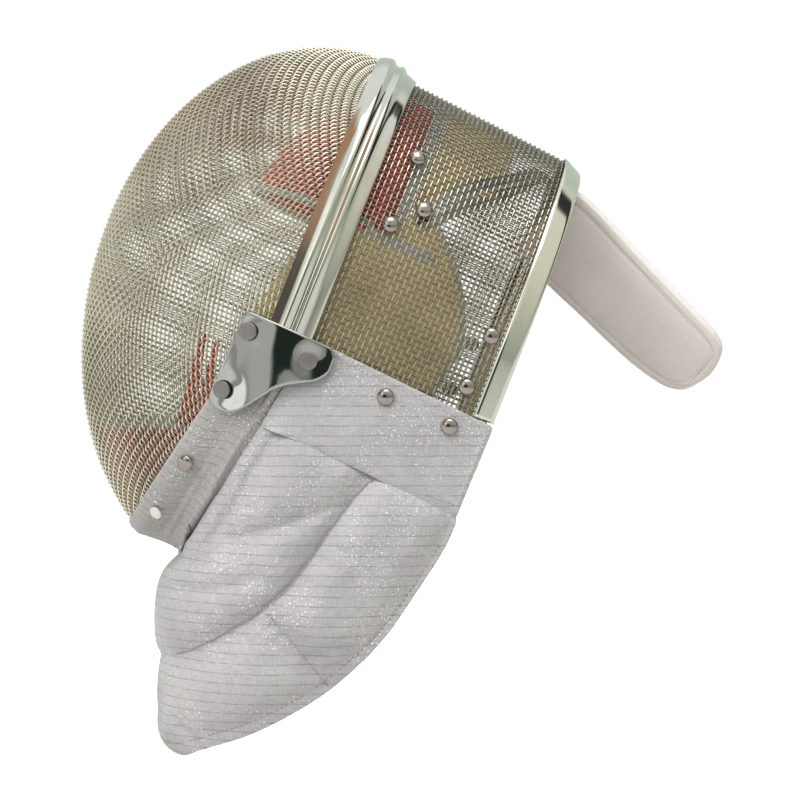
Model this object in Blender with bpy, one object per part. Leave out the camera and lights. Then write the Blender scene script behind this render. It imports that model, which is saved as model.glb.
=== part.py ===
"""A sabre fencer's mask, as worn: a domed wire cage over the face, a wire crown, a chrome hoop and rim,
a quilted metallic bib, a padded lining and a padded tongue at the nape.

The wearer faces -Y, +X is the wearer's left and +Z is up. The origin is the wearer's crown, where the
head sits against the pads. Shapes are worked out in millimetres and built in metres.

Two frames are used. The mask frame has its Y axis square to the hoop and its Z axis along the hoop's
legs. The upright frame is the mask frame tipped forward by TILT, as the mask sits on a bowed head. The
wire, the metal and the lining are drawn in the mask frame, and the bib and tongue in the upright one.
"""

from math import cos, hypot, pi, radians, sin, sqrt

import bmesh
import bpy
from mathutils import Matrix, Vector

MM = 0.001
GAP = 0.4

# How the mask is worn, and where the head sits in the mask frame.
TILT = radians(21.5)
HEAD_SEAT = (-25.0, 155.4)

# Wire cage: the dome is two half ellipsoids, one above and one below its widest line.
WIRE_WALL = 2.0
HALF_WIDTH = 95.0
REAR_HALF_WIDTH = 93.0
WIDEST_Z = 35.0
DOME_TIP_Y = -195.2
DOME_ABOVE = dict(rise=144.5, depth=109.6)
DOME_BELOW = dict(rise=175.0, depth=136.0)
DOME_BLEND = (-35.0, 25.0)
CHIN_LINE = dict(y=-100.0, z=-37.0, slope=0.2235)
CHIN_COVER = 8.0

# Crown and sides: height of the wire's ridge line at stations along Y.
CROWN = [
    # y, ridge z
    (-90.0, 179.5),
    (-80.5, 179.5),
    (-60.0, 173.2),
    (-10.0, 168.6),
    (36.0, 164.0),
    (50.0, 158.6),
]
HOOP_JOINT_Y = -81.0
CROWN_END_Y = 47.6
CROWN_STATIONS = (-60.0, -28.0, 4.0, 36.0)
SIDE_EDGE = dict(front_y=-45.6, front_z=11.0, slope=-0.0785)
YOKE_COVER = 10.0

# Chrome hoop: height of its pressed section above the wire at stations along Y.
HOOP_SECTION = [
    # y, height above the wire
    (-83.5, 1.5),
    (-81.0, 1.6),
    (-79.3, 4.0),
    (-76.6, 5.0),
    (-74.0, 4.0),
    (-72.4, 2.0),
    (-70.4, 2.0),
    (-68.8, 4.0),
    (-66.0, 5.0),
    (-63.4, 4.0),
    (-61.6, 1.6),
    (-58.8, 1.5),
]
HOOP_FOOT_Z = -5.0

# Chrome rim: a strip folded round the rear edge of the wire.
RIM_FRONT_Y = 37.5
RIM_BACK_Y = 49.4
RIM_INNER_FRONT_Y = 41.0
RIM_SHEET = 1.0
RIM_FOOT_Z = 5.2

# Corner bracket, outline in the mask frame.
BRACKET_OUTLINE = [
    # y, z
    (-97.9, 14.0),
    (-46.6, 11.6),
    (-43.6, 7.8),
    (-43.4, -2.4),
    (-48.5, -8.6),
    (-61.2, -15.4),
    (-67.9, -20.4),
    (-76.9, -32.9),
    (-81.8, -38.6),
    (-87.0, -42.0),
    (-93.7, -42.0),
    (-99.8, -38.1),
]
BRACKET_STANDS_OFF = 6.6
BRACKET_SHEET = 1.6

# Rivets, places in the mask frame.
BRACKET_RIVETS = [
    # name, y, z
    ("top", -90.3, 4.2),
    ("low", -91.3, -29.6),
    ("rear", -56.4, 0.3),
]
SIDE_RIVETS = [
    ("crown", -41.6, 127.1),
    ("strap", -28.0, 100.6),
    ("pad", -42.0, 86.0),
    ("rim_upper", 31.0, 49.4),
    ("rim_lower", 28.6, 18.8),
]
YOKE_RIVETS = [
    ("front", -10.5, -2.4),
    ("rear", 27.4, -4.6),
]
FLAT_RIVET = dict(radius=4.9, height=1.8, dome=0.35)
DOME_RIVET = dict(radius=4.6, height=2.6, dome=0.85)
SMALL_FLAT_RIVET = dict(radius=3.8, height=1.0, dome=0.3)

# Band rivets, places in the upright frame.
BAND_RIVETS = [
    # name, y, z, shape
    ("dome", -118.3, -33.4, DOME_RIVET),
    ("flat", -135.4, -60.8, SMALL_FLAT_RIVET),
]

# Bib: throat section at heights of the upright frame.
BIB_SECTION = [
    # z, front y, half width, depth of the curve
    (0.0, -125.6, 96.5, 74.0),
    (-88.0, -125.6, 95.0, 74.0),
    (-96.0, -134.5, 94.0, 77.0),
    (-110.0, -139.5, 92.0, 79.0),
    (-138.0, -140.2, 89.0, 79.0),
    (-150.0, -139.0, 87.5, 78.0),
    (-170.0, -139.4, 85.0, 78.0),
    (-188.0, -138.8, 81.0, 76.0),
    (-197.0, -136.5, 78.0, 73.0),
    (-204.0, -127.0, 75.0, 66.0),
]
BIB_EDGE = [
    # y, z of the lower edge in the side view
    (-140.0, -200.5),
    (-124.0, -200.5),
    (-112.0, -194.0),
    (-86.0, -184.0),
    (-66.0, -174.0),
    (-44.0, -160.5),
    (-24.0, -143.5),
    (-9.0, -127.0),
    (6.0, -105.0),
    (22.0, -79.5),
    (28.0, -66.0),
]
BAND_FRONT = dict(y=-107.5, slope=0.694)
BAND_SEAM = dict(y=-70.3, slope=0.63)
YOKE_SEAM = dict(y=-72.0, z=-17.0, slope=-0.477)
BAND_TOP_Z = 18.0
BAND_TOP_DROP = 16.0
BAND_SHARES = (0.0, 0.22, 0.5, 0.75, 1.0)
RAIL_LOW_Z = -140.0
BAND_LOW = [
    # share of the way back, height of the collar's middle under the chin
    (0.3, -70.6),
    (0.5, -76.6),
    (0.78, -80.6),
    (1.0, -86.0),
]
BAND_WALL = 2.6
BAND_SWELL = 1.2
SEAM_GROOVE = 1.6
APRON_WALL = 8.0
APRON_TOP_REACH = (-88.0, 0.0)
APRON_LOW_Z = -204.0
APRON_TURNS = (0, 9, 18, 27, 36, 45, 54, 63, 71, 80)
APRON_SIDE_YS = (-50.0, -40.0, -30.0, -20.0, -10.0, -1.0, 7.0, 14.5, 21.0, 26.0)
APRON_STEPS_DOWN = 15
APRON_PROUD = 2.0
APRON_SEAM_REACH = 16.0
APRON_SEAMS = [
    # depth, then a run of y, z in the side view
    (5.0, [(-18.6, -41.0), (-36.2, -63.5), (-49.3, -83.5), (-63.6, -102.4), (-78.0, -114.5),
           (-97.0, -126.5), (-117.0, -136.5), (-142.0, -142.0)]),
    (4.0, [(-75.4, -115.9), (-41.7, -156.0)]),
    (2.6, [(-34.0, -57.5), (-57.0, -65.0), (-94.0, -76.0)]),
    (2.2, [(-78.0, -96.5), (-107.0, -104.0), (-134.0, -105.0)]),
]

# Yoke: cloth panel over the wire's lower edge, outline in the mask frame.
YOKE_OUTLINE = [
    # y, z
    (-57.6, -14.0),
    (-57.6, 8.0),
    (-45.6, 11.4),
    (50.0, 3.9),
    (49.2, -48.6),
    (28.5, -47.0),
    (-2.8, -43.4),
    (-51.9, -40.4),
    (-62.0, -40.4),
    (-62.0, -24.0),
]
YOKE_WALL = 4.0

# Lining.
CROWN_PAD = dict(y=-50.0, z=60.0, width=84.5, depth=75.0, rise=103.0, back_y=-42.4, low_z=83.0, wall=9.0)
REAR_PAD = dict(front_y=-33.6, back_y=9.0, inset=6.6, wall=8.0, front_turn=36.0, back_turn=54.0)
BINDING = dict(front_y=-41.8, back_y=-34.2, inset=7.0, wall=3.0, turn=24.0)
EAR_PAD_ROWS = [
    # z, front y, back y
    (-6.0, -92.0, 11.0),
    (6.0, -95.0, 12.0),
    (18.0, -94.5, 14.0),
    (40.0, -89.0, 17.0),
    (60.0, -83.0, 7.5),
    (68.0, -78.0, -4.0),
    (73.0, -72.0, -12.0),
]
EAR_PAD = dict(inset=4.0, wall=8.0)
EAR_TAB = dict(front_y=-54.0, back_y=-12.6, front_z=78.4, back_z=76.2, height=5.6, inset=3.6, wall=2.4)
CHIN_PAD = dict(top_z=-21.5, inset=3.2, wall=7.0)

# Tongue: a padded strip turned about its length, drawn in the upright frame.
TONGUE_START = (95.9, 93.0)
TONGUE_DROP = radians(39.0)
TONGUE_TURN = radians(33.0)
TONGUE_WALL = 10.0
TONGUE_ENDS = dict(thin_at=-23.0, full_from=-5.0, full_to=106.0, thin_by=120.0, thinnest=0.45)
TONGUE_OUTLINE = [
    # along, upper edge, lower edge, as they show in the side view
    (-19.0, 20.0, -18.0),
    (-13.0, 23.6, -21.6),
    (0.0, 24.0, -23.4),
    (38.0, 19.5, -26.0),
    (74.0, 15.6, -28.4),
    (96.0, 13.2, -27.4),
    (104.0, 11.4, -25.2),
    (110.5, 7.6, -20.4),
    (114.0, 1.4, -12.0),
]
SPRING_PATH = [
    # y, turn about the crown in degrees, depth under the wire, from the left rivet to the middle
    (-27.0, 25.0, 4.4),
    (-23.0, 31.0, 4.4),
    (-15.0, 38.0, 4.4),
    (-3.0, 45.0, 4.4),
    (12.0, 53.0, 4.4),
    (21.0, 63.0, 7.0),
    (26.0, 75.0, 11.0),
    (28.5, 90.0, 15.0),
]
SPRING_STEM = [
    # y, z from the arms' middle down to the tongue
    (28.5, 150.6),
    (34.0, 149.6),
    (37.0, 146.0),
    (37.4, 141.0),
]
SPRING = dict(width=9.0, wall=1.6, stem_width=22.0)


def table_value(rows, key, column=1):
    """The value of a column at key, straight between the rows of a table sorted either way."""
    rows = sorted(rows)
    if key <= rows[0][0]:
        return rows[0][column]
    for low, high in zip(rows, rows[1:]):
        if key <= high[0]:
            share = (key - low[0]) / (high[0] - low[0])
            return low[column] + share * (high[column] - low[column])
    return rows[-1][column]


def smooth_share(value, low, high):
    share = min(max((value - low) / (high - low), 0.0), 1.0)
    return share * share * (3 - 2 * share)


def solve(function, low, high):
    """Where the function crosses zero between low and high, by halving."""
    sign = function(low) > 0
    for _ in range(50):
        middle = (low + high) / 2
        if (function(middle) > 0) == sign:
            low = middle
        else:
            high = middle
    return (low + high) / 2


# ---------------------------------------------------------------- frames, materials and objects


def clear_scene():
    for item in list(bpy.data.objects):
        bpy.data.objects.remove(item, do_unlink=True)


def tipped(y, z):
    """A mask-frame place in the upright frame."""
    return y * cos(TILT) + z * sin(TILT), z * cos(TILT) - y * sin(TILT)


def make_frames():
    seat_y, seat_z = tipped(*HEAD_SEAT)
    upright = bpy.data.objects.new("upright_frame", None)
    upright.location = (0.0, -seat_y * MM, -seat_z * MM)
    mask = bpy.data.objects.new("mask_frame", None)
    mask.parent = upright
    mask.rotation_euler = (-TILT, 0.0, 0.0)
    for frame in (upright, mask):
        bpy.context.scene.collection.objects.link(frame)
    return upright, mask


def make_material(name, colour, metallic, roughness):
    material = bpy.data.materials.new(name)
    material.use_nodes = True
    shader = material.node_tree.nodes["Principled BSDF"]
    shader.inputs["Base Color"].default_value = (*colour, 1.0)
    shader.inputs["Metallic"].default_value = metallic
    shader.inputs["Roughness"].default_value = roughness
    material.diffuse_color = (*colour, 1.0)
    return material


def make_materials():
    return {
        "wire": make_material("steel_wire", (0.50, 0.49, 0.42), 1.0, 0.35),
        "chrome": make_material("polished_chrome", (0.75, 0.77, 0.76), 1.0, 0.08),
        "rivet": make_material("rivet_nickel", (0.70, 0.68, 0.65), 1.0, 0.15),
        "lame": make_material("silver_cloth", (0.45, 0.43, 0.41), 0.25, 0.50),
        "red": make_material("red_lining", (0.42, 0.07, 0.06), 0.0, 0.85),
        "khaki": make_material("khaki_lining", (0.36, 0.30, 0.16), 0.0, 0.85),
        "tape": make_material("grey_tape", (0.36, 0.38, 0.35), 0.0, 0.80),
        "tongue": make_material("pale_leatherette", (0.60, 0.52, 0.48), 0.0, 0.55),
        "spring": make_material("spring_steel", (0.45, 0.46, 0.45), 1.0, 0.35),
    }


def make_object(name, bm, material, parent, smooth_angle=40.0):
    """An object from a bmesh drawn in millimetres, which is used up."""
    bmesh.ops.remove_doubles(bm, verts=bm.verts, dist=0.001)
    bmesh.ops.recalc_face_normals(bm, faces=bm.faces)
    bmesh.ops.scale(bm, vec=(MM, MM, MM), verts=bm.verts)
    mesh = bpy.data.meshes.new(name)
    bm.to_mesh(mesh)
    bm.free()
    mesh.shade_smooth()
    mesh.set_sharp_from_angle(angle=radians(smooth_angle))
    mesh.materials.append(material)
    item = bpy.data.objects.new(name, mesh)
    item.parent = parent
    bpy.context.scene.collection.objects.link(item)
    return item


def face_towards(item, way):
    """Makes a sheet's normals point, on the whole, the given way."""
    bm = bmesh.new()
    bm.from_mesh(item.data)
    bm.normal_update()
    if sum(face.normal.dot(Vector(way)) * face.calc_area() for face in bm.faces) < 0:
        bmesh.ops.reverse_faces(bm, faces=bm.faces)
    bm.to_mesh(item.data)
    bm.free()


def add_wall(item, thickness, side):
    """Thickens a sheet by a number of millimetres: side is -1 inwards, +1 outwards."""
    wall = item.modifiers.new("wall", "SOLIDIFY")
    wall.thickness = thickness * MM
    wall.offset = side
    wall.use_even_offset = True
    wall.use_rim = True
    return item


# ---------------------------------------------------------------- sheets and solids


def sheet(rows):
    """A bmesh of quads through rows of points, all of one length."""
    bm = bmesh.new()
    verts = [[bm.verts.new(point) for point in row] for row in rows]
    for near, far in zip(verts, verts[1:]):
        for i in range(len(near) - 1):
            bm.faces.new((near[i], near[i + 1], far[i + 1], far[i]))
    return bm


def swept_solid(loops):
    """A bmesh through closed loops of points, with both ends capped."""
    bm = bmesh.new()
    verts = [[bm.verts.new(point) for point in loop] for loop in loops]
    count = len(verts[0])
    for near, far in zip(verts, verts[1:]):
        for i in range(count):
            j = (i + 1) % count
            bm.faces.new((near[i], near[j], far[j], far[i]))
    bm.faces.new(verts[0])
    bm.faces.new(verts[-1])
    return bm


def plate(outline, place, step):
    """A flat outline of (y, z), cut into strips and moved by place(y, z) to a curved sheet."""
    bm = bmesh.new()
    bm.faces.new([bm.verts.new((0.0, y, z)) for y, z in outline])
    for axis in (1, 2):
        low = min(point[axis - 1] for point in outline)
        high = max(point[axis - 1] for point in outline)
        normal = Vector((0.0, 0.0, 0.0))
        normal[axis] = 1.0
        for i in range(1, int((high - low) / step) + 1):
            parts = list(bm.verts) + list(bm.edges) + list(bm.faces)
            bmesh.ops.bisect_plane(bm, geom=parts, plane_co=normal * (low + i * step), plane_no=normal)
    for vert in bm.verts:
        vert.co = place(vert.co.y, vert.co.z)
    bmesh.ops.triangulate(bm, faces=bm.faces)
    return bm


def move_along_normals(bm, distance):
    """Moves a sheet along its own vertex normals, first turned to point away from the mask's inside."""
    bmesh.ops.recalc_face_normals(bm, faces=bm.faces)
    bm.normal_update()
    outward = sum(face.normal.dot(face.calc_center_median() - Vector((0, 0, WIDEST_Z))) for face in bm.faces)
    turn = 1 if outward > 0 else -1
    steps = [(vert, vert.normal * distance * turn) for vert in bm.verts]
    for vert, step in steps:
        vert.co += step


def cut_away(bm, point, normal):
    """Removes what lies on the normal's side of a plane."""
    parts = list(bm.verts) + list(bm.edges) + list(bm.faces)
    bmesh.ops.bisect_plane(bm, geom=parts, plane_co=point, plane_no=normal, clear_outer=True, dist=0.001)


# ---------------------------------------------------------------- the wire


def dome_depth(z):
    share = smooth_share(z, WIDEST_Z + DOME_BLEND[0], WIDEST_Z + DOME_BLEND[1])
    return DOME_BELOW["depth"] + share * (DOME_ABOVE["depth"] - DOME_BELOW["depth"])


def dome_rise(z):
    return DOME_ABOVE["rise"] if z > WIDEST_Z else DOME_BELOW["rise"]


def dome_half_width(y, z):
    """Half the dome's width at a place of the side view, and zero outside it."""
    back = 1 - (y - DOME_TIP_Y) / dome_depth(z)
    share = 1 - back * back - ((z - WIDEST_Z) / dome_rise(z)) ** 2
    return HALF_WIDTH * sqrt(share) if share > 0 else 0.0


def dome_sheet(rounds, rings):
    """The dome's outer face, still whole, with a collar that reaches past the hoop."""
    bm = bmesh.new()
    bmesh.ops.create_uvsphere(bm, u_segments=rounds, v_segments=rings, radius=1.0)
    bmesh.ops.rotate(bm, verts=bm.verts, matrix=Matrix.Rotation(pi / 2, 3, "X"))
    cut_away(bm, (0, 0, 0), (0, 1, 0))
    for vert in bm.verts:
        across, depth, up = vert.co
        z = WIDEST_Z + up * dome_rise(WIDEST_Z + up)
        vert.co = (across * HALF_WIDTH, DOME_TIP_Y + dome_depth(z) * (1 + depth), z)
    open_edges = [edge for edge in bm.edges if edge.is_boundary]
    made = bmesh.ops.extrude_edge_only(bm, edges=open_edges)["geom"]
    for vert in (part for part in made if isinstance(part, bmesh.types.BMVert)):
        vert.co.y = max(vert.co.y + 12.0, HOOP_JOINT_Y + 4.0)
    return bm


def side_half_width(y):
    share = (y - CROWN[0][0]) / (CROWN[-1][0] - CROWN[0][0])
    return HALF_WIDTH + share * (REAR_HALF_WIDTH - HALF_WIDTH)


def crown_point(y, turn, height=0.0):
    """A place on the crown's arch: turn is 0 at its left foot and pi at its right foot."""
    width = side_half_width(y)
    rise = table_value(CROWN, y) - WIDEST_Z
    normal = Vector((cos(turn) / width, 0.0, sin(turn) / rise)).normalized()
    return Vector((width * cos(turn), y, WIDEST_Z + rise * sin(turn))) + normal * height


def crown_line(y, foot_z, height=0.0, arch_steps=22, leg_steps=1):
    """The arch at one station with its two straight legs, from the left foot to the right foot."""
    foot = side_half_width(y) + height
    legs = [foot_z + (WIDEST_Z - foot_z) * i / leg_steps for i in range(leg_steps)]
    line = [Vector((foot, y, z)) for z in legs]
    line += [crown_point(y, pi * i / arch_steps, height) for i in range(arch_steps + 1)]
    line += [Vector((-foot, y, z)) for z in reversed(legs)]
    return line


def side_half_width_at(y, z):
    """Half the width of the crown and sides at a place of the side view."""
    rise = table_value(CROWN, y) - WIDEST_Z
    up = max(z - WIDEST_Z, 0.0) / rise
    return side_half_width(y) * sqrt(max(1 - up * up, 0.0))


def wall_half_width(y, z):
    """Half the width of the wire at a place of the side view, from the dome over to the sides."""
    share = smooth_share(y, -96.0, -64.0)
    dome = dome_half_width(min(y, -70.0), z)
    return dome + share * (side_half_width_at(y, z) - dome)


def side_edge_z(y):
    return SIDE_EDGE["front_z"] + SIDE_EDGE["slope"] * (y - SIDE_EDGE["front_y"])


def make_front_mesh(material, parent):
    bm = dome_sheet(rounds=40, rings=26)
    cut_away(bm, (0, HOOP_JOINT_Y - GAP, 0), (0, 1, 0))
    slope = Vector((0.0, 1.0, -CHIN_LINE["slope"]))
    cut_away(bm, (0, CHIN_LINE["y"] + CHIN_COVER, CHIN_LINE["z"]), slope)
    add_wall(make_object("front_mesh", bm, material, parent), WIRE_WALL, -1)


def make_side_mesh(material, parent):
    stations = [HOOP_JOINT_Y + GAP, *CROWN_STATIONS, CROWN_END_Y]
    rows = [crown_line(y, side_edge_z(y) - YOKE_COVER) for y in stations]
    add_wall(make_object("side_mesh", sheet(rows), material, parent), WIRE_WALL, -1)


# ---------------------------------------------------------------- hoop, rim and brackets


def arch_sweep(section, foot_z, arch_steps, leg_steps=1):
    """A closed section of (y, height above the wire), swept over the crown from foot to foot."""
    lines = [crown_line(y, foot_z, height, arch_steps, leg_steps) for y, height in section]
    return swept_solid([list(loop) for loop in zip(*lines)])


def make_hoop(material, parent):
    kinks = [CROWN[2][0], CROWN[1][0]]
    under = [(y, GAP) for y in (HOOP_SECTION[-1][0], *kinks, HOOP_SECTION[0][0])]
    bm = arch_sweep(HOOP_SECTION + under, HOOP_FOOT_Z, arch_steps=26)
    make_object("hoop", bm, material, parent, smooth_angle=50.0)


def make_rear_rim(material, parent):
    outside = GAP + RIM_SHEET
    inside = -WIRE_WALL - GAP
    section = [
        (RIM_FRONT_Y, outside),
        (RIM_BACK_Y, outside),
        (RIM_BACK_Y, inside - RIM_SHEET),
        (RIM_INNER_FRONT_Y, inside - RIM_SHEET),
        (RIM_INNER_FRONT_Y, inside),
        (RIM_BACK_Y - RIM_SHEET, inside),
        (RIM_BACK_Y - RIM_SHEET, GAP),
        (RIM_FRONT_Y, GAP),
    ]
    make_object("rear_rim", arch_sweep(section, RIM_FOOT_Z, arch_steps=24), material, parent)


def make_bracket(side, sign, material, parent):
    def place(y, z):
        return Vector((sign * (wall_half_width(y, z) + BRACKET_STANDS_OFF), y, z))

    bm = plate(BRACKET_OUTLINE, place, step=14.0)
    item = make_object(f"bracket_{side}", bm, material, parent)
    face_towards(item, (sign, 0, 0))
    add_wall(item, BRACKET_SHEET, 1)


# ---------------------------------------------------------------- rivets


def rivet_mesh(shape, sides=10):
    """A rivet head standing on +Z: a short wall and a low dome, in two steps."""
    radius, height, dome = shape["radius"], shape["height"], shape["dome"]
    wall = height * (1 - dome)
    profile = [(radius, 0.0), (radius, wall), (radius * 0.72, wall + height * dome * 0.62), (0.0, height)]
    bm = bmesh.new()
    points = [bm.verts.new((r, 0.0, z)) for r, z in profile]
    edges = [bm.edges.new(pair) for pair in zip(points, points[1:])]
    bmesh.ops.spin(bm, geom=points + edges, axis=(0, 0, 1), cent=(0, 0, 0), angle=2 * pi, steps=sides,
                   use_merge=True)
    bmesh.ops.remove_doubles(bm, verts=bm.verts, dist=0.001)
    bmesh.ops.holes_fill(bm, edges=bm.edges)
    return bm


def make_rivet(name, shape, point, normal, material, parent):
    bm = rivet_mesh(shape)
    turn = Vector((0, 0, 1)).rotation_difference(normal).to_matrix().to_4x4()
    bmesh.ops.transform(bm, matrix=Matrix.Translation(point) @ turn, verts=bm.verts)
    make_object(name, bm, material, parent)


def surface_normal(width_at, y, z, sign, reach=3.0):
    """The outward normal of a side surface whose half width is width_at(y, z)."""
    along_y = (width_at(y + reach, z) - width_at(y - reach, z)) / (2 * reach)
    along_z = (width_at(y, z + reach) - width_at(y, z - reach)) / (2 * reach)
    return Vector((sign, -along_y, -along_z)).normalized()


def make_side_rivets(materials, mask):
    groups = [
        ("bracket_rivet", BRACKET_RIVETS, FLAT_RIVET, wall_half_width, BRACKET_STANDS_OFF + BRACKET_SHEET),
        ("side_rivet", SIDE_RIVETS, DOME_RIVET, side_half_width_at, 0.0),
        ("yoke_rivet", YOKE_RIVETS, DOME_RIVET, side_half_width_at, GAP + YOKE_WALL),
    ]
    for side, sign in (("left", 1), ("right", -1)):
        for group, rows, shape, width_at, height in groups:
            for name, y, z in rows:
                normal = surface_normal(width_at, y, z, sign)
                point = Vector((sign * width_at(y, z), y, z)) + normal * (height + GAP)
                make_rivet(f"{group}_{name}_{side}", shape, point, normal, materials["rivet"], mask)


def make_band_rivets(material, upright):
    for side, sign in (("left", 1), ("right", -1)):
        for name, y, z, shape in BAND_RIVETS:
            normal = surface_normal(upright_dome_half_width, y, z, sign)
            point = Vector((sign * upright_dome_half_width(y, z), y, z))
            point += normal * (BAND_SWELL + BAND_WALL + GAP)
            make_rivet(f"band_rivet_{name}_{side}", shape, point, normal, material, upright)


# ---------------------------------------------------------------- the bib


def band_front_y(z):
    return BAND_FRONT["y"] + BAND_FRONT["slope"] * z


def band_seam_y(z):
    return BAND_SEAM["y"] + BAND_SEAM["slope"] * z


def yoke_seam_z(y):
    return YOKE_SEAM["z"] + YOKE_SEAM["slope"] * (y - YOKE_SEAM["y"])


def throat_point(z, turn):
    """A place on the bib's curved front: turn is 0 at its middle and pi/2 where the side starts."""
    front = table_value(BIB_SECTION, z, 1)
    width = table_value(BIB_SECTION, z, 2)
    depth = table_value(BIB_SECTION, z, 3)
    return Vector((width * sin(turn), front + depth * (1 - cos(turn)), z))


def throat_half_width(y, z):
    front = table_value(BIB_SECTION, z, 1)
    width = table_value(BIB_SECTION, z, 2)
    depth = table_value(BIB_SECTION, z, 3)
    ahead = min(max(1 - (y - front) / depth, 0.0), 1.0)
    return width * sqrt(1 - ahead * ahead)


def upright_dome_half_width(y, z):
    """The dome's half width at a place given in the upright frame."""
    return dome_half_width(y * cos(TILT) - z * sin(TILT), y * sin(TILT) + z * cos(TILT))


def rail(line_y, width_at, top_z, steps):
    """Half of the curve where a plane seen edge-on meets a surface, from the middle to the left end."""
    low_z = solve(lambda z: width_at(line_y(z), z) - 0.001, RAIL_LOW_Z, top_z)
    points = []
    for i in range(steps + 1):
        z = low_z + (top_z - low_z) * (1 - cos(pi / 2 * i / steps))
        points.append(Vector((width_at(line_y(z), z), line_y(z), z)))
    points[0].x = 0.0
    return points


def mirrored_row(half):
    """A row from the left end through the middle to the right end."""
    return list(reversed(half)) + [Vector((-point.x, point.y, point.z)) for point in half[1:]]


def make_band(material, upright):
    """A collar from the chin edge of the wire back to the apron's seam."""
    rows = []
    seam_share = 1.0 - SEAM_GROOVE / (BAND_SEAM["y"] - BAND_FRONT["y"])
    for share in (part * seam_share for part in BAND_SHARES):
        def line_y(z, share=share):
            return band_front_y(z) * (1 - share) + band_seam_y(z) * share

        top_z = BAND_TOP_Z - BAND_TOP_DROP * share
        on_dome = rail(line_y, upright_dome_half_width, top_z, steps=11)
        on_throat = rail(line_y, throat_half_width, top_z, steps=11)
        blend = smooth_share(share, 0.2, 1.0)
        half = [a.lerp(b, blend) for a, b in zip(on_dome, on_throat)]
        drop = table_value(BAND_LOW, share) - half[0].z if share > BAND_LOW[0][0] else 0.0
        for i, point in enumerate(half):
            point.z += drop * (1 - i / (len(half) - 1)) ** 2
            point.y = line_y(point.z)
        rows.append(mirrored_row(half))
    bm = sheet(rows)
    move_along_normals(bm, BAND_SWELL)
    item = make_object("bib_band", bm, material, upright)
    face_towards(item, (0, -1, 0))
    add_wall(item, BAND_WALL, 1)


def distance_to_run(point, run):
    """How far a place of the side view is from a run of points."""
    best = 1e9
    for (ay, az), (by, bz) in zip(run, run[1:]):
        length = hypot(by - ay, bz - az)
        along = ((point[0] - ay) * (by - ay) + (point[1] - az) * (bz - az)) / length**2
        along = min(max(along, 0.0), 1.0)
        best = min(best, hypot(point[0] - ay - along * (by - ay), point[1] - az - along * (bz - az)))
    return best


def quilt_height(y, z):
    """How far the padding stands out between the quilting seams."""
    sunk = 0.0
    for depth, run in APRON_SEAMS:
        near = 1 - smooth_share(distance_to_run((y, z), run), 0.0, APRON_SEAM_REACH)
        sunk = max(sunk, depth * near)
    return APRON_PROUD - sunk


def apron_column(place):
    """The top and bottom heights of a column of the apron, whose place(z) is its side view y."""
    def top_z(z):
        y = place(z).y
        return min(yoke_seam_z(y), (y - BAND_SEAM["y"]) / BAND_SEAM["slope"])

    top = solve(lambda z: z - top_z(z), *APRON_TOP_REACH)
    low = solve(lambda z: z - table_value(BIB_EDGE, place(z).y), APRON_LOW_Z, top)
    return top - SEAM_GROOVE, min(low, top - 4.0)


def make_apron(material, upright):
    """The quilted curtain round the throat, in columns that run from its top seam to its lower edge."""
    def front_place(turn):
        return lambda z: throat_point(z, turn)

    def side_place(y):
        return lambda z: Vector((table_value(BIB_SECTION, z, 2), y, z))

    places = [front_place(radians(turn)) for turn in APRON_TURNS] + [side_place(y) for y in APRON_SIDE_YS]
    half = []
    for place in places:
        top, low = apron_column(place)
        column = []
        for i in range(APRON_STEPS_DOWN + 1):
            point = place(top + (low - top) * i / APRON_STEPS_DOWN)
            ahead = -90.0 * (1 - smooth_share(point.y, -125.0, -60.0))
            out = Vector((point.x, ahead, 0.0)).normalized()
            edge = smooth_share(min(i, APRON_STEPS_DOWN - i) / APRON_STEPS_DOWN, 0.0, 0.12)
            column.append(point + out * edge * quilt_height(point.y, point.z))
        half.append(column)
    rows = [mirrored_row(list(row)) for row in zip(*half)]
    item = make_object("bib_apron", sheet(rows), material, upright)
    face_towards(item, (0, -1, 0))
    add_wall(item, APRON_WALL, -1)


def make_yoke(side, sign, material, parent):
    def place(y, z):
        return Vector((sign * (side_half_width(y) + GAP), y, z))

    item = make_object(f"yoke_{side}", plate(YOKE_OUTLINE, place, step=60.0), material, parent)
    face_towards(item, (sign, 0, 0))
    add_wall(item, YOKE_WALL, 1)


# ---------------------------------------------------------------- the lining


def make_crown_pad(material, parent):
    """A cap over the forehead, with a straight stretch back under the hoop."""
    pad = CROWN_PAD
    bm = bmesh.new()
    bmesh.ops.create_uvsphere(bm, u_segments=20, v_segments=12, radius=1.0)
    bmesh.ops.scale(bm, vec=(pad["width"], pad["depth"], pad["rise"]), verts=bm.verts)
    bmesh.ops.translate(bm, vec=(0, pad["y"], pad["z"]), verts=bm.verts)
    cut_away(bm, (0, pad["y"], 0), (0, 1, 0))
    cut_away(bm, (0, 0, pad["low_z"]), (0, 0, -1))
    rear = [edge for edge in bm.edges if all(abs(v.co.y - pad["y"]) < 0.01 for v in edge.verts)]
    made = bmesh.ops.extrude_edge_only(bm, edges=rear)["geom"]
    for vert in (part for part in made if isinstance(part, bmesh.types.BMVert)):
        vert.co.y = pad["back_y"]
    item = make_object("crown_pad", bm, material, parent)
    add_wall(item, pad["wall"], -1)
    return item


def crown_strip(front_y, back_y, inset, front_turn, back_turn, across=14, along=2):
    """A sheet under the crown's arch between two stations, from turn to the same turn on the far side."""
    rows = []
    for i in range(along + 1):
        share = i / along
        y = front_y + share * (back_y - front_y)
        start = radians(front_turn + share * (back_turn - front_turn))
        turns = [start + (pi - 2 * start) * j / across for j in range(across + 1)]
        rows.append([crown_point(y, turn, -inset) for turn in turns])
    return sheet(rows)


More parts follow.
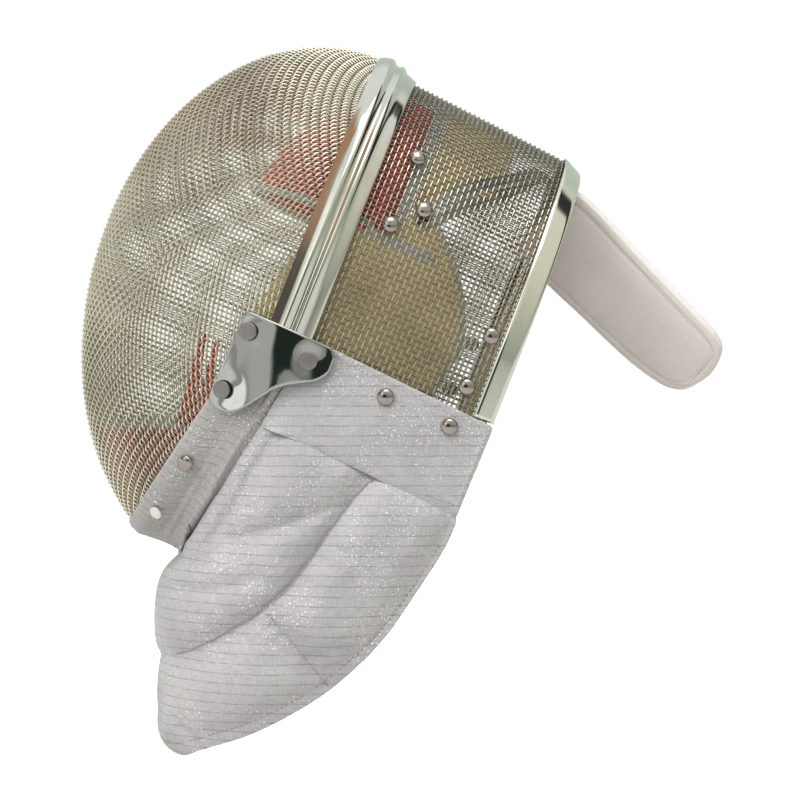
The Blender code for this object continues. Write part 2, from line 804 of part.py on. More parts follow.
def make_rear_pad(material, parent):
    pad = REAR_PAD
    bm = crown_strip(pad["front_y"], pad["back_y"], pad["inset"], pad["front_turn"], pad["back_turn"])
    item = make_object("rear_pad", bm, material, parent)
    face_towards(item, (0, 0, 1))
    add_wall(item, pad["wall"], -1)


def make_binding(material, parent):
    tape = BINDING
    bm = crown_strip(tape["front_y"], tape["back_y"], tape["inset"], tape["turn"], tape["turn"], 18, 1)
    item = make_object("pad_binding", bm, material, parent)
    face_towards(item, (0, 0, 1))
    add_wall(item, tape["wall"], -1)


def make_ear_pad(side, sign, material, parent):
    rows = []
    for z, front, back in EAR_PAD_ROWS:
        row = []
        for i in range(9):
            y = front + (back - front) * i / 8
            row.append(Vector((sign * (wall_half_width(y, z) - EAR_PAD["inset"]), y, z)))
        rows.append(row)
    item = make_object(f"ear_pad_{side}", sheet(rows), material, parent)
    face_towards(item, (sign, 0, 0))
    add_wall(item, EAR_PAD["wall"], -1)


def make_ear_tab(side, sign, material, parent):
    """The grey webbing tab above the ear pad."""
    tab = EAR_TAB
    rows = []
    for drop in (0.0, tab["height"]):
        row = []
        for share in (0.0, 0.33, 0.67, 1.0):
            y = tab["front_y"] + share * (tab["back_y"] - tab["front_y"])
            z = tab["front_z"] + share * (tab["back_z"] - tab["front_z"]) + tab["height"] / 2 - drop
            row.append(Vector((sign * (side_half_width_at(y, z) - tab["inset"]), y, z)))
        rows.append(row)
    item = make_object(f"ear_tab_{side}", sheet(rows), material, parent)
    face_towards(item, (sign, 0, 0))
    add_wall(item, tab["wall"], -1)


def make_chin_pad(material, parent):
    """The lining that fills the chin of the wire, cut level at its top."""
    bm = dome_sheet(rounds=28, rings=18)
    level = Vector((0.0, -sin(TILT), cos(TILT)))
    top = level * CHIN_PAD["top_z"]
    slope = Vector((0.0, 1.0, -CHIN_LINE["slope"]))
    cut_away(bm, (0, CHIN_LINE["y"] + 4.0, CHIN_LINE["z"]), slope)
    cut_away(bm, top, level)
    move_along_normals(bm, -CHIN_PAD["inset"])
    item = make_object("chin_pad", bm, material, parent)
    face_towards(item, (0, -1, 0))
    add_wall(item, CHIN_PAD["wall"], -1)


# ---------------------------------------------------------------- the tongue


def make_tongue(material, upright):
    """A padded strip whose face is turned about its length, so that it shows from the side."""
    along = Vector((0.0, cos(TONGUE_DROP), -sin(TONGUE_DROP)))
    up_edge = Vector((0.0, sin(TONGUE_DROP), cos(TONGUE_DROP)))
    width_way = Vector((sin(TONGUE_TURN), 0, 0)) + up_edge * cos(TONGUE_TURN)
    face_way = Vector((cos(TONGUE_TURN), 0, 0)) - up_edge * sin(TONGUE_TURN)
    start = Vector((0.0, *TONGUE_START))
    seen = cos(TONGUE_TURN)
    ends = TONGUE_ENDS
    loops = []
    for distance, upper, lower in TONGUE_OUTLINE:
        near_end = smooth_share(distance, ends["thin_at"], ends["full_from"])
        far_end = 1 - smooth_share(distance, ends["full_to"], ends["thin_by"])
        half = TONGUE_WALL / 2 * (ends["thinnest"] + (1 - ends["thinnest"]) * min(near_end, far_end))
        centre = start + along * distance
        top, low = upper / seen, lower / seen
        section = [(top, -half * 0.6), (top, half * 0.6), (top - 4.0, half), (low + 4.0, half),
                   (low, half * 0.6), (low, -half * 0.6), (low + 4.0, -half), (top - 4.0, -half)]
        loops.append([centre + width_way * w + face_way * f for w, f in section])
    make_object("tongue", swept_solid(loops), material, upright, smooth_angle=50.0)


def make_tongue_spring(material, parent):
    """A strip under the crown from side to side, with a stem that stops at the tongue."""
    half = [crown_point(y, radians(turn), -depth) for y, turn, depth in SPRING_PATH]
    path = half + [Vector((-point.x, point.y, point.z)) for point in reversed(half[:-1])]
    loops = []
    for i, point in enumerate(path):
        ahead = path[min(i + 1, len(path) - 1)] - path[max(i - 1, 0)]
        out = Vector((point.x, 0.0, (point.z - WIDEST_Z))).normalized()
        across = ahead.cross(out).normalized()
        out = across.cross(ahead).normalized()
        w, t = SPRING["width"] / 2, SPRING["wall"] / 2
        loops.append([point + across * w + out * t, point - across * w + out * t,
                      point - across * w - out * t, point + across * w - out * t])
    arms = make_object("tongue_spring", swept_solid(loops), material, parent, smooth_angle=30.0)
    w, t = SPRING["stem_width"] / 2, SPRING["wall"] / 2
    stem_loops = []
    for i, (y, z) in enumerate(SPRING_STEM):
        ahead = Vector(SPRING_STEM[min(i + 1, len(SPRING_STEM) - 1)]) - Vector(SPRING_STEM[max(i - 1, 0)])
        out = Vector((0.0, -ahead.y, ahead.x)).normalized()
        centre = Vector((0.0, y, z))
        side = Vector((w, 0.0, 0.0))
        stem_loops.append([centre + side + out * t, centre - side + out * t,
                           centre - side - out * t, centre + side - out * t])
    stem = make_object("tongue_spring_stem", swept_solid(stem_loops), material, parent, smooth_angle=30.0)
    stem.hide_render = True
    stem.display_type = "WIRE"
    union = arms.modifiers.new("stem", "BOOLEAN")
    union.operation = "UNION"
    union.object = stem


def main():
    clear_scene()
    upright, mask = make_frames()
    materials = make_materials()
    make_front_mesh(materials["wire"], mask)
    make_side_mesh(materials["wire"], mask)
    make_hoop(materials["chrome"], mask)
    make_rear_rim(materials["chrome"], mask)
    make_side_rivets(materials, mask)
    make_band_rivets(materials["rivet"], upright)
    make_band(materials["lame"], upright)
    make_apron(materials["lame"], upright)
    make_crown_pad(materials["red"], mask)
    make_binding(materials["tape"], mask)
    make_rear_pad(materials["khaki"], mask)
    make_chin_pad(materials["red"], mask)
    make_tongue(materials["tongue"], upright)
    make_tongue_spring(materials["spring"], mask)
    for side, sign in (("left", 1), ("right", -1)):
        make_bracket(side, sign, materials["chrome"], mask)
        make_yoke(side, sign, materials["lame"], mask)
        make_ear_pad(side, sign, materials["khaki"], mask)
        make_ear_tab(side, sign, materials["tape"], mask)


main()
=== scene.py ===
from math import atan2, ceil, cos, pi, radians, sin, sqrt

import bmesh
import bpy
import numpy as np
from mathutils import Matrix, Vector, noise
from mathutils.bvhtree import BVHTree
from mathutils.kdtree import KDTree


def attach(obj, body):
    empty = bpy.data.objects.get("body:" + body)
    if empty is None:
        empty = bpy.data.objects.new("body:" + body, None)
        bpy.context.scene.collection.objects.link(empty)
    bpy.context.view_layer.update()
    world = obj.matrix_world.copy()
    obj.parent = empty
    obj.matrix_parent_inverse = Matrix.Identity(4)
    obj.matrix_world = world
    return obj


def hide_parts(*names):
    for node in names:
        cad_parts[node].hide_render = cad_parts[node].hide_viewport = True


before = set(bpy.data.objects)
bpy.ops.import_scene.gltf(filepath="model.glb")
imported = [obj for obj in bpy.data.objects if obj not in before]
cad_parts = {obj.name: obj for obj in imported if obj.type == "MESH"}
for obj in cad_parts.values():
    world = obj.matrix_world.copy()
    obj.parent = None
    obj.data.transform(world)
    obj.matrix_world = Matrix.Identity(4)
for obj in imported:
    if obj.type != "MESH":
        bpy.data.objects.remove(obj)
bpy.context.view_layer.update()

# Shapes are worked out in millimetres, in the mask's own frame or upright, as in the part's source.
# Finished pieces are in metres, in the row frame.
MM = 0.001
TILT = radians(21.5)
HEAD_SEAT = (-25.0, 155.4)
SIDES = (("left", 1), ("right", -1))


# ---------------------------------------------------------------- frames


def tipped(y, z):
    """A place of the mask frame in the upright frame."""
    return y * cos(TILT) + z * sin(TILT), z * cos(TILT) - y * sin(TILT)


def tipped_back(y, z):
    """A place of the upright frame in the mask frame."""
    return y * cos(TILT) - z * sin(TILT), y * sin(TILT) + z * cos(TILT)


SEAT_Y, SEAT_Z = tipped(*HEAD_SEAT)
ROW_FROM_UPRIGHT = Matrix.Scale(MM, 4) @ Matrix.Translation((0, -SEAT_Y, -SEAT_Z))
ROW_FROM_MASK = ROW_FROM_UPRIGHT @ Matrix.Rotation(-TILT, 4, "X")


def smooth_share(value, low, high):
    """A number or an array on a soft step that rises from 0 at low to 1 at high."""
    share = np.clip((np.asarray(value, float) - low) / (high - low), 0, 1)
    return share * share * (3 - 2 * share)


def table_value(rows, key, column=1):
    """The value of a column at key, straight between the rows of a table whose keys rise."""
    if key <= rows[0][0]:
        return rows[0][column]
    for low, high in zip(rows, rows[1:]):
        if key <= high[0]:
            share = (key - low[0]) / (high[0] - low[0])
            return low[column] + share * (high[column] - low[column])
    return rows[-1][column]


def curve_value(rows, key, column=1):
    """The value of a column at key, on a smooth line through a table whose keys rise."""
    if key <= rows[0][0]:
        return rows[0][column]
    if key >= rows[-1][0]:
        return rows[-1][column]
    i = max(n for n in range(len(rows) - 1) if rows[n][0] <= key)
    (x0, x1), (y0, y1) = [(rows[i][c], rows[i + 1][c]) for c in (0, column)]

    def slope(n):
        low, high = rows[max(n - 1, 0)], rows[min(n + 1, len(rows) - 1)]
        return (high[column] - low[column]) / (high[0] - low[0])

    width, t = x1 - x0, (key - x0) / (x1 - x0)
    return ((2 * t**3 - 3 * t**2 + 1) * y0 + (t**3 - 2 * t**2 + t) * width * slope(i)
            + (3 * t**2 - 2 * t**3) * y1 + (t**3 - t**2) * width * slope(i + 1))


def solve(function, low, high):
    """Where the function crosses zero between low and high, by halving."""
    sign = function(low) > 0
    for _ in range(40):
        middle = (low + high) / 2
        if (function(middle) > 0) == sign:
            low = middle
        else:
            high = middle
    return (low + high) / 2


# ---------------------------------------------------------------- node graphs


class Value:
    """What an output of a node gives. Arithmetic with it adds further nodes."""

    def __init__(self, graph, socket):
        self.graph, self.socket = graph, socket

    def __add__(self, other):
        return self.graph.math("ADD", self, other)

    def __sub__(self, other):
        return self.graph.math("SUBTRACT", self, other)

    def __mul__(self, other):
        return self.graph.math("MULTIPLY", self, other)


class Graph:
    """Short ways to add and join the nodes of a material, a shared effect or the world."""

    def __init__(self, tree):
        self.tree = tree

    def join(self, socket, value):
        """Joins an output to an input, or sets the input's own value."""
        if isinstance(value, Value):
            self.tree.links.new(value.socket, socket)
        else:
            socket.default_value = value

    def give(self, node, **values):
        """Joins or sets inputs of a node by their names."""
        for name, value in values.items():
            self.join(node.inputs[name.replace("_", " ").title()], value)

    def node(self, kind, *values, **settings):
        """A new node with its settings, and with values for its first inputs."""
        made = self.tree.nodes.new(kind)
        for name, value in settings.items():
            setattr(made, name, value)
        for socket, value in zip(made.inputs, values):
            self.join(socket, value)
        return made

    def value(self, kind, *values, output=0, **settings):
        """What one output of a new node gives."""
        return Value(self, self.node(kind, *values, **settings).outputs[output])

    def group(self, tree, *values):
        """What the outputs of a shared effect give."""
        made = self.node("ShaderNodeGroup", *values, node_tree=tree)
        return [Value(self, output) for output in made.outputs]

    def parts(self, vector):
        """The x, y and z of a vector."""
        return [Value(self, output) for output in self.node("ShaderNodeSeparateXYZ", vector).outputs]

    def math(self, operation, a, b=0.0):
        return self.value("ShaderNodeMath", a, b, operation=operation)

    def mix(self, share, a, b):
        """A colour between two colours."""
        made = self.node("ShaderNodeMix", share, data_type="RGBA")
        self.join(made.inputs[6], a)
        self.join(made.inputs[7], b)
        return Value(self, made.outputs[2])

    def ramp(self, value, low, high, start=0.0, end=1.0, kind="LINEAR"):
        """The value moved from the range low to high onto the range start to end."""
        return self.value("ShaderNodeMapRange", value, low, high, start, end, interpolation_type=kind)

    def step(self, value, low, high, start=0.0, end=1.0):
        """The value moved from one range onto another along a soft step."""
        return self.ramp(value, low, high, start, end, "SMOOTHSTEP")

    def noise(self, place, scale, detail=2.0, roughness=0.5):
        made = self.node("ShaderNodeTexNoise")
        self.give(made, vector=place, scale=scale, detail=detail, roughness=roughness)
        return Value(self, made.outputs["Fac"])

    def stretched(self, place, *scale):
        made = self.node("ShaderNodeMapping", place)
        self.give(made, scale=scale)
        return Value(self, made.outputs[0])

    def bump(self, height, distance, strength):
        made = self.node("ShaderNodeBump")
        self.give(made, height=height, distance=distance, strength=strength)
        return Value(self, made.outputs[0])


def rgb(red, green, blue):
    """A colour from the 0 to 255 values seen on a screen."""
    def linear(value):
        value = value / 255
        return value / 12.92 if value <= 0.04045 else ((value + 0.055) / 1.055) ** 2.4

    return linear(red), linear(green), linear(blue), 1.0


def make_group(name, inputs, fill):
    """A shared effect. fill(graph, ...) takes the inputs' values and returns the outputs by name."""
    tree = bpy.data.node_groups.new(name, "ShaderNodeTree")
    for label, kind in inputs.items():
        tree.interface.new_socket(label, in_out="INPUT", socket_type=f"NodeSocket{kind}")
    graph = Graph(tree)
    given = graph.node("NodeGroupInput").outputs
    results = fill(graph, *[Value(graph, given[label]) for label in inputs])
    for label in results:
        tree.interface.new_socket(label.title(), in_out="OUTPUT", socket_type="NodeSocketFloat")
    graph.give(graph.node("NodeGroupOutput"), **results)
    return tree


def fill_smudges(graph, place, amount):
    """Faint haze and fingerprints that polished metal picks up."""
    fine = graph.noise(graph.stretched(place, 1.0, 1.0, 0.3), 420.0, 4.0, 0.7)
    haze = graph.noise(place, 38.0, 3.0, 0.6) * 0.6 + fine * 0.4
    return dict(haze=graph.step(haze, 0.42, 0.72) * amount, grain=fine)


def fill_weave(graph, flat, threads):
    """A plain weave of threads on a flat cut, with u and v in metres."""
    u, v, _ = graph.parts(flat)
    across, along = u * threads, v * threads
    warp, weft = [graph.math("ABSOLUTE", graph.math("SINE", run * pi)) for run in (across, along)]
    turn = graph.math("FLOOR", across) + graph.math("FLOOR", along)
    over = graph.math("ROUND", graph.math("FRACT", turn * 0.5))
    under = graph.math("SUBTRACT", 1.0, over)
    return dict(height=warp * over + weft * under)


SMUDGES = make_group("metal_smudges", {"Place": "Vector", "Amount": "Float"}, fill_smudges)
WEAVE = make_group("cloth_weave", {"Flat": "Vector", "Threads": "Float"}, fill_weave)


# ---------------------------------------------------------------- materials

MATERIALS = {}
PINSTRIPE_PITCH = 0.0054
PINSTRIPE_WANDER = 0.0011
WHITE = (1.0, 1.0, 1.0, 1.0)


def object_place(graph):
    return graph.value("ShaderNodeTexCoord", output="Object")


def flat_place(graph):
    return graph.value("ShaderNodeUVMap", uv_map="flat")


def new_material(name, roughness, metallic=0.0, **settings):
    """A new material's graph and shader, with plain settings on the shader's own sockets."""
    MATERIALS[name] = material = bpy.data.materials.new(name)
    material.use_nodes = True
    graph = Graph(material.node_tree)
    shader = material.node_tree.nodes["Principled BSDF"]
    graph.give(shader, roughness=roughness, metallic=metallic, **settings)
    return graph, shader


def make_wire_material(name, bright, dark, roughness):
    """Drawn steel wire, a little duller and darker in patches."""
    graph, shader = new_material(name, roughness, 1.0)
    place = object_place(graph)
    patches = graph.ramp(graph.noise(place, 22.0, 3.0, 0.55), 0.35, 0.68)
    specks = graph.ramp(graph.noise(place, 900.0, 2.0, 0.6), 0.30, 0.75)
    graph.give(shader, base_color=graph.mix((patches + specks) * 0.5, bright, dark),
               roughness=graph.ramp(specks, 0.0, 1.0, roughness - 0.06, roughness + 0.12))


def make_chrome_material(name, colour, dull, roughness, haze):
    graph, shader = new_material(name, roughness, 1.0)
    smudge, grain = graph.group(SMUDGES, object_place(graph), haze)
    graph.give(shader, base_color=graph.mix(smudge, colour, dull),
               roughness=graph.ramp(smudge, 0.0, 1.0, roughness, roughness + 0.22),
               normal=graph.bump(grain, 0.00002, 0.35))


def make_lame_material(name, dull, bright):
    """Silver cloth: a fine weave, dark pinstripes and bright glints of metal thread."""
    graph, shader = new_material(name, 0.5, sheen_weight=0.15, sheen_roughness=0.4)
    flat = flat_place(graph)

    def drawn_out(along, down, detail, roughness=0.5):
        return graph.noise(graph.stretched(flat, along, down, 1.0), 1.0, detail, roughness)

    weave, = graph.group(WEAVE, flat, 900.0)
    down = graph.parts(flat)[1] + drawn_out(18.0, 60.0, 2.0) * PINSTRIPE_WANDER
    beat = graph.math("FRACT", down * (1 / PINSTRIPE_PITCH))
    line = graph.step(graph.math("ABSOLUTE", beat - 0.5), 0.0, 0.10, 1.0, 0.0)
    stripe = line * graph.ramp(drawn_out(110.0, 900.0, 3.0, 0.6), 0.30, 0.56)
    slub = drawn_out(160.0, 2600.0, 2.0, 0.6) * 0.5 + drawn_out(2600.0, 160.0, 2.0, 0.6) * 0.5
    cloth = graph.mix(graph.ramp(slub, 0.35, 0.65), dull, bright)
    broad = graph.ramp(graph.noise(flat, 22.0, 3.0), 0.35, 0.65, 0.0, 0.4)
    cloth = graph.mix(broad, cloth, rgb(150, 149, 152))
    cloth = graph.mix(stripe * 0.55, cloth, rgb(92, 90, 92))
    patch = graph.ramp(graph.noise(flat, 30.0), 0.46, 0.62)
    fleck = graph.ramp(graph.noise(flat, 760.0, 1.0), 0.635, 0.68)
    glint = fleck * graph.ramp(patch, 0.0, 1.0, 0.14, 1.0)
    graph.give(shader, base_color=graph.mix(glint, cloth, WHITE),
               metallic=graph.ramp(glint, 0.0, 1.0, 0.12, 0.3),
               roughness=graph.ramp(glint, 0.0, 1.0, 0.50, 0.22),
               normal=graph.bump(weave + slub * 0.8, 0.00014, 0.6))


def make_lining_material(name, light, dark, threads=900.0):
    """Brushed lining cloth with a soft nap."""
    graph, shader = new_material(name, 0.85, sheen_weight=0.3, sheen_roughness=0.5)
    flat = flat_place(graph)
    weave, = graph.group(WEAVE, flat, threads)
    tone = graph.noise(flat, 420.0, 3.0, 0.65) * 0.7 + weave * 0.3
    graph.give(shader, base_color=graph.mix(graph.ramp(tone, 0.3, 0.75), dark, light),
               normal=graph.bump(tone, 0.0002, 0.5))


def make_tongue_material(name, light, dark):
    """Pale leatherette: a fine pebble grain with broad shading."""
    graph, shader = new_material(name, 0.5, coat_weight=0.08, coat_roughness=0.4)
    place = object_place(graph)
    broad = graph.ramp(graph.noise(place, 16.0, 3.0), 0.35, 0.66)
    cells = graph.node("ShaderNodeTexVoronoi", feature="DISTANCE_TO_EDGE")
    graph.give(cells, vector=place, scale=1300.0)
    pebble = graph.step(Value(graph, cells.outputs["Distance"]), 0.0, 0.25)
    fine = graph.noise(place, 500.0, 3.0, 0.6)
    # The grooves between the pebbles are painted darker: painted shade.
    dip = graph.ramp(pebble, 0.0, 1.0, 0.22, 0.0)
    graph.give(shader, base_color=graph.mix(dip, graph.mix(broad, light, dark), rgb(150, 138, 132)),
               roughness=graph.ramp(fine, 0.3, 0.7, 0.44, 0.60),
               normal=graph.bump(pebble + fine * 0.5, 0.00008, 0.5))


def make_thread_material(name, light, dark):
    """Twisted sewing thread."""
    graph, shader = new_material(name, 0.7)
    twist = graph.noise(object_place(graph), 2600.0, 2.0, 0.6)
    graph.give(shader, base_color=graph.mix(graph.ramp(twist, 0.3, 0.7), dark, light),
               normal=graph.bump(twist, 0.0001, 0.5))


for make, rows in (
    (make_wire_material, [
        # name, bright, dark, roughness
        ("face_wire", (252, 249, 232), (200, 197, 178), 0.22),
        # A darker copy of the face wire for the lying set: painted shade.
        ("face_wire_low", (190, 187, 166), (122, 119, 102), 0.28),
        # A darker copy of the side wire for the wires that run back: painted shade.
        ("side_wire_low", (150, 147, 130), (98, 95, 82), 0.30),
        ("side_wire", (226, 224, 210), (154, 152, 138), 0.20),
    ]),
    (make_chrome_material, [
        # name, clean, dull, roughness, haze
        ("rim_chrome", (228, 230, 218), (196, 198, 184), 0.07, 0.30),
        ("flat_rivets", (244, 241, 234), (226, 222, 214), 0.50, 0.6),
        ("hoop_chrome", (218, 220, 210), (178, 180, 168), 0.07, 0.35),
        ("bracket_chrome", (178, 180, 178), (146, 148, 146), 0.04, 0.20),
        ("bracket_rivets", (150, 147, 146), (126, 123, 122), 0.46, 0.5),
        ("dome_rivets", (172, 165, 160), (126, 119, 114), 0.06, 0.22),
        ("spring_steel", (150, 152, 150), (120, 122, 120), 0.32, 0.6),
    ]),
    (make_lame_material, [
        # name, dull, bright
        ("silver_lame", (164, 163, 164), (203, 202, 203)),
        # A darker copy of the same silver cloth for the collar band and its piping: painted shade.
        ("silver_lame_band", (150, 148, 146), (186, 184, 182)),
    ]),
    (make_lining_material, [
        # name, light, dark, threads a metre
        ("red_lining", (222, 70, 62), (180, 44, 42)),
        ("khaki_lining", (240, 216, 156), (210, 186, 130)),
        ("grey_tape", (206, 210, 206), (168, 174, 170), 1100.0),
    ]),
    (make_tongue_material, [
        # name, light, dark
        ("tongue_face", (232, 227, 224), (222, 216, 212)),
        # A lighter copy of the same leatherette for the faces along its edges: painted light.
        ("tongue_edge", (246, 242, 238), (234, 229, 224)),
    ]),
    (make_thread_material, [
        # name, light, dark
        ("grey_thread", (176, 172, 172), (120, 116, 116)),
        ("pale_thread", (206, 198, 190), (168, 158, 150)),
    ]),
):
    for name, first, second, *numbers in rows:
        make(name, rgb(*first), rgb(*second), *numbers)


# ---------------------------------------------------------------- pieces


def add_object(name, data):
    item = bpy.data.objects.new(name, data)
    bpy.context.scene.collection.objects.link(item)
    return item


def add_piece(name, data, material, replaces):
    """A piece of the mask from its mesh or curve."""
    data.materials.append(MATERIALS[material])
    piece = add_object(name, data)
    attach(piece, "root")
    if replaces:
        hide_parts(*replaces)
    return piece


def finish_piece(name, bm, material, replaces=(), matrix=ROW_FROM_MASK, smooth=180.0):
    """A piece from a bmesh in millimetres. Edges that turn by more than the smooth angle stay sharp."""
    bmesh.ops.transform(bm, matrix=matrix, verts=bm.verts)
    mesh = bpy.data.meshes.new(name)
    bm.to_mesh(mesh)
    bm.free()
    mesh.shade_smooth()
    if smooth < 180.0:
        mesh.set_sharp_from_angle(angle=radians(smooth))
    return add_piece(name, mesh, material, replaces)


def wire_piece(name, runs, radius, material, replaces=(), matrix=ROW_FROM_MASK, sides=1):
    """Round wire along runs of points in millimetres. A fourth number of a point scales the radius there."""
    curve = bpy.data.curves.new(name, "CURVE")
    curve.dimensions = "3D"
    curve.bevel_depth = radius * MM
    curve.bevel_resolution = sides
    curve.use_fill_caps = True
    turn = np.array(matrix)
    for run in runs:
        run = np.asarray(run, float)
        points = run[:, :3] @ turn[:3, :3].T + turn[:3, 3]
        spline = curve.splines.new("POLY")
        spline.points.add(len(points) - 1)
        spline.points.foreach_set("co", np.c_[points, np.ones(len(points))].ravel())
        if run.shape[1] > 3:
            spline.points.foreach_set("radius", run[:, 3])
    return add_piece(name, curve, material, replaces)


def add_wall(piece, thickness, even=True):
    """Thickens a sheet inwards by a number of millimetres."""
    wall = piece.modifiers.new("wall", "SOLIDIFY")
    wall.thickness = thickness * MM
    wall.offset = -1
    wall.use_even_offset = even
    return wall


def add_smoothing(piece):
    smooth = piece.modifiers.new("smooth", "SUBSURF")
    smooth.levels = smooth.render_levels = 1


def lay_flat(bm, flat_of):
    """Gives a sheet its flat places in metres, as a UV layer, from the places of its vertices."""
    layer = bm.loops.layers.uv.new("flat")
    for face in bm.faces:
        for loop in face.loops:
            loop[layer].uv = flat_of(loop.vert.co)


def shaped_grid(columns, rows, place, flat=(0.1, 0.1)):
    """A grid whose vertices go to place(u, v), with u and v from 0 to 1. flat is its size on the flat cut
    in metres, or a function that gives the flat place."""
    bm = bmesh.new()
    bmesh.ops.create_grid(bm, x_segments=columns, y_segments=rows, size=0.5)
    flat_at = flat if callable(flat) else lambda u, v: (u * flat[0], v * flat[1])
    lay_flat(bm, lambda co: flat_at(co.x + 0.5, co.y + 0.5))
    for vert in bm.verts:
        vert.co = place(vert.co.x + 0.5, vert.co.y + 0.5)
    bmesh.ops.recalc_face_normals(bm, faces=bm.faces)
    return bm


def face_towards(bm, way):
    """Makes a sheet's normals point, on the whole, the given way."""
    bm.normal_update()
    if sum(face.normal.dot(Vector(way)) * face.calc_area() for face in bm.faces) < 0:
        bmesh.ops.reverse_faces(bm, faces=bm.faces)
    return bm


# ---------------------------------------------------------------- flat cuts and soft pieces


def distances(points, run):
    """How far each of an array of flat places is from a run of flat points."""
    points, run = np.asarray(points, float), np.asarray(run, float)
    best = np.full(len(points), 1e9)
    for a, b in zip(run, run[1:]):
        way = b - a
        along = np.clip((points - a) @ way / max(way @ way, 1e-12), 0, 1)
        best = np.minimum(best, np.linalg.norm(points - a - along[:, None] * way, axis=1))
    return best


def rounded_outline(points, radius, steps):
    """An outline with each corner cut back by the radius, or a third of the nearest side, and rounded."""
    rounded = []
    for n in range(len(points)):
        before, corner, after = [Vector(points[(n + k) % len(points)]) for k in (-1, 0, 1)]
        reach = min(radius, (before - corner).length / 3, (after - corner).length / 3)
        start = corner + (before - corner).normalized() * reach
        end = corner + (after - corner).normalized() * reach
        for t in (k / steps for k in range(steps + 1)):
            rounded.append(tuple(start * (1 - t) ** 2 + corner * 2 * t * (1 - t) + end * t * t))
    return rounded


def cut(bm, point, normal, **options):
    """Cuts a sheet along a plane."""
    parts = [*bm.verts, *bm.edges, *bm.faces]
    bmesh.ops.bisect_plane(bm, geom=parts, plane_co=point, plane_no=normal, **options)


def cut_away(bm, point, normal):
    """Removes what lies on the normal's side of a plane."""
    cut(bm, point, normal, clear_outer=True, dist=0.001)


def flat_cut(outline, step, insets):
    """A flat outline in millimetres cut into small squares, with rings along its edge, and its flat places
    as an array. They stay on it as a UV layer in metres."""
    bm = bmesh.new()
    face = bm.faces.new([bm.verts.new((x, y, 0.0)) for x, y in outline])
    for inset in insets:
        bmesh.ops.inset_region(bm, faces=[face], thickness=inset, use_even_offset=True, use_boundary=True)
    for row, normal in zip(zip(*outline), (Vector((1, 0, 0)), Vector((0, 1, 0)))):
        for i in range(1, ceil((max(row) - min(row)) / step)):
            cut(bm, normal * (min(row) + i * step), normal)
    bmesh.ops.remove_doubles(bm, verts=bm.verts, dist=0.12)
    lay_flat(bm, lambda co: (co.x * MM, co.y * MM))
    return bm, np.array([vert.co[:2] for vert in bm.verts])


def move_to(bm, places, way):
    """Moves a sheet's vertices, and makes its normals point the given way."""
    for vert, place in zip(bm.verts, places):
        vert.co = place
    face_towards(bm, way)


def push(bm, heights):
    """Pushes each vertex of a sheet out along its normal by its own height."""
    bm.normal_update()
    steps = [vert.normal * height for vert, height in zip(bm.verts, heights)]
    for vert, step in zip(bm.verts, steps):
        vert.co += step


def waves(x, y, size, seed=0.0):
    """Smooth hills and dips, from -1 to 1, that are about the given size across."""
    return noise.noise(Vector((x / size + seed, y / size - seed, seed * 0.37)))


def from_rim(bm):
    """How far each vertex of a sheet is from the nearest one on its edge."""
    rim = [vert.co.copy() for vert in bm.verts if vert.is_boundary]
    tree = KDTree(len(rim))
    for i, place in enumerate(rim):
        tree.insert(place, i)
    tree.balance()
    return [tree.find(vert.co)[2] for vert in bm.verts]


CLOTH = dict(quality=6, mass=0.15, air_damping=2.0, tension_stiffness=12.0, compression_stiffness=12.0,
             shear_stiffness=5.0, bending_stiffness=0.6, vertex_group_mass="held", use_pressure=True)
CLOTH_FRAMES = 20


def billow(piece, held, slack, pressure, cap):
    """Lets a sheet settle into folds between the places where it is held, and keeps the result. No vertex
    moves further than its cap in millimetres."""
    group = piece.vertex_groups.new(name="held")
    group.add([i for i, pin in enumerate(held) if pin], 1.0, "REPLACE")
    cloth = piece.modifiers.new("folds", "CLOTH")
    for name, value in CLOTH.items():
        setattr(cloth.settings, name, value)
    cloth.settings.shrink_min = -slack
    cloth.settings.uniform_pressure_force = pressure
    cloth.settings.effector_weights.gravity = 0.0
    cloth.collision_settings.use_collision = False
    cloth.point_cache.frame_start, cloth.point_cache.frame_end = 1, CLOTH_FRAMES
    scene = bpy.context.scene
    for frame_number in range(1, CLOTH_FRAMES + 1):
        scene.frame_set(frame_number)
    count = len(piece.data.vertices)
    rest, shaped = np.empty(count * 3), np.empty(count * 3)
    piece.data.vertices.foreach_get("co", rest)
    settled = piece.evaluated_get(bpy.context.evaluated_depsgraph_get()).data
    settled.vertices.foreach_get("co", shaped)
    move = (shaped - rest).reshape(-1, 3)
    length = np.linalg.norm(move, axis=1)
    move *= (np.minimum(length, cap * MM) / np.maximum(length, 1e-9))[:, None]
    piece.modifiers.remove(cloth)
    scene.frame_set(1)
    piece.data.vertices.foreach_set("co", rest + move.ravel())
    piece.data.update()


def stuff(piece, wall, edge_reach, edge_share, smooth=True):
    """Gives a sheet its thickness, inwards, thinner towards its edge."""
    bm = bmesh.new()
    bm.from_mesh(piece.data)
    group = piece.vertex_groups.new(name="full")
    for i, reach in enumerate(from_rim(bm)):
        share = min(reach / (edge_reach * MM), 1.0)
        group.add([i], sqrt(1 - (1 - share) ** 2), "REPLACE")
    bm.free()
    solid = add_wall(piece, wall, even=False)
    solid.vertex_group = "full"
    solid.thickness_vertex_group = edge_share
    if smooth:
        add_smoothing(piece)


def lengths_along(line):
    """How far along a line of points each of them lies."""
    return np.r_[0, np.cumsum(np.linalg.norm(np.diff(np.asarray(line, float), axis=0), axis=1))]


def even_steps(line, pitch):
    """Places along a finely drawn line, one pitch apart."""
    line, along = np.asarray(line, float), lengths_along(line)
    wanted = np.arange(0, along[-1], pitch)
    return np.c_[tuple(np.interp(wanted, along, axis) for axis in line.T)]


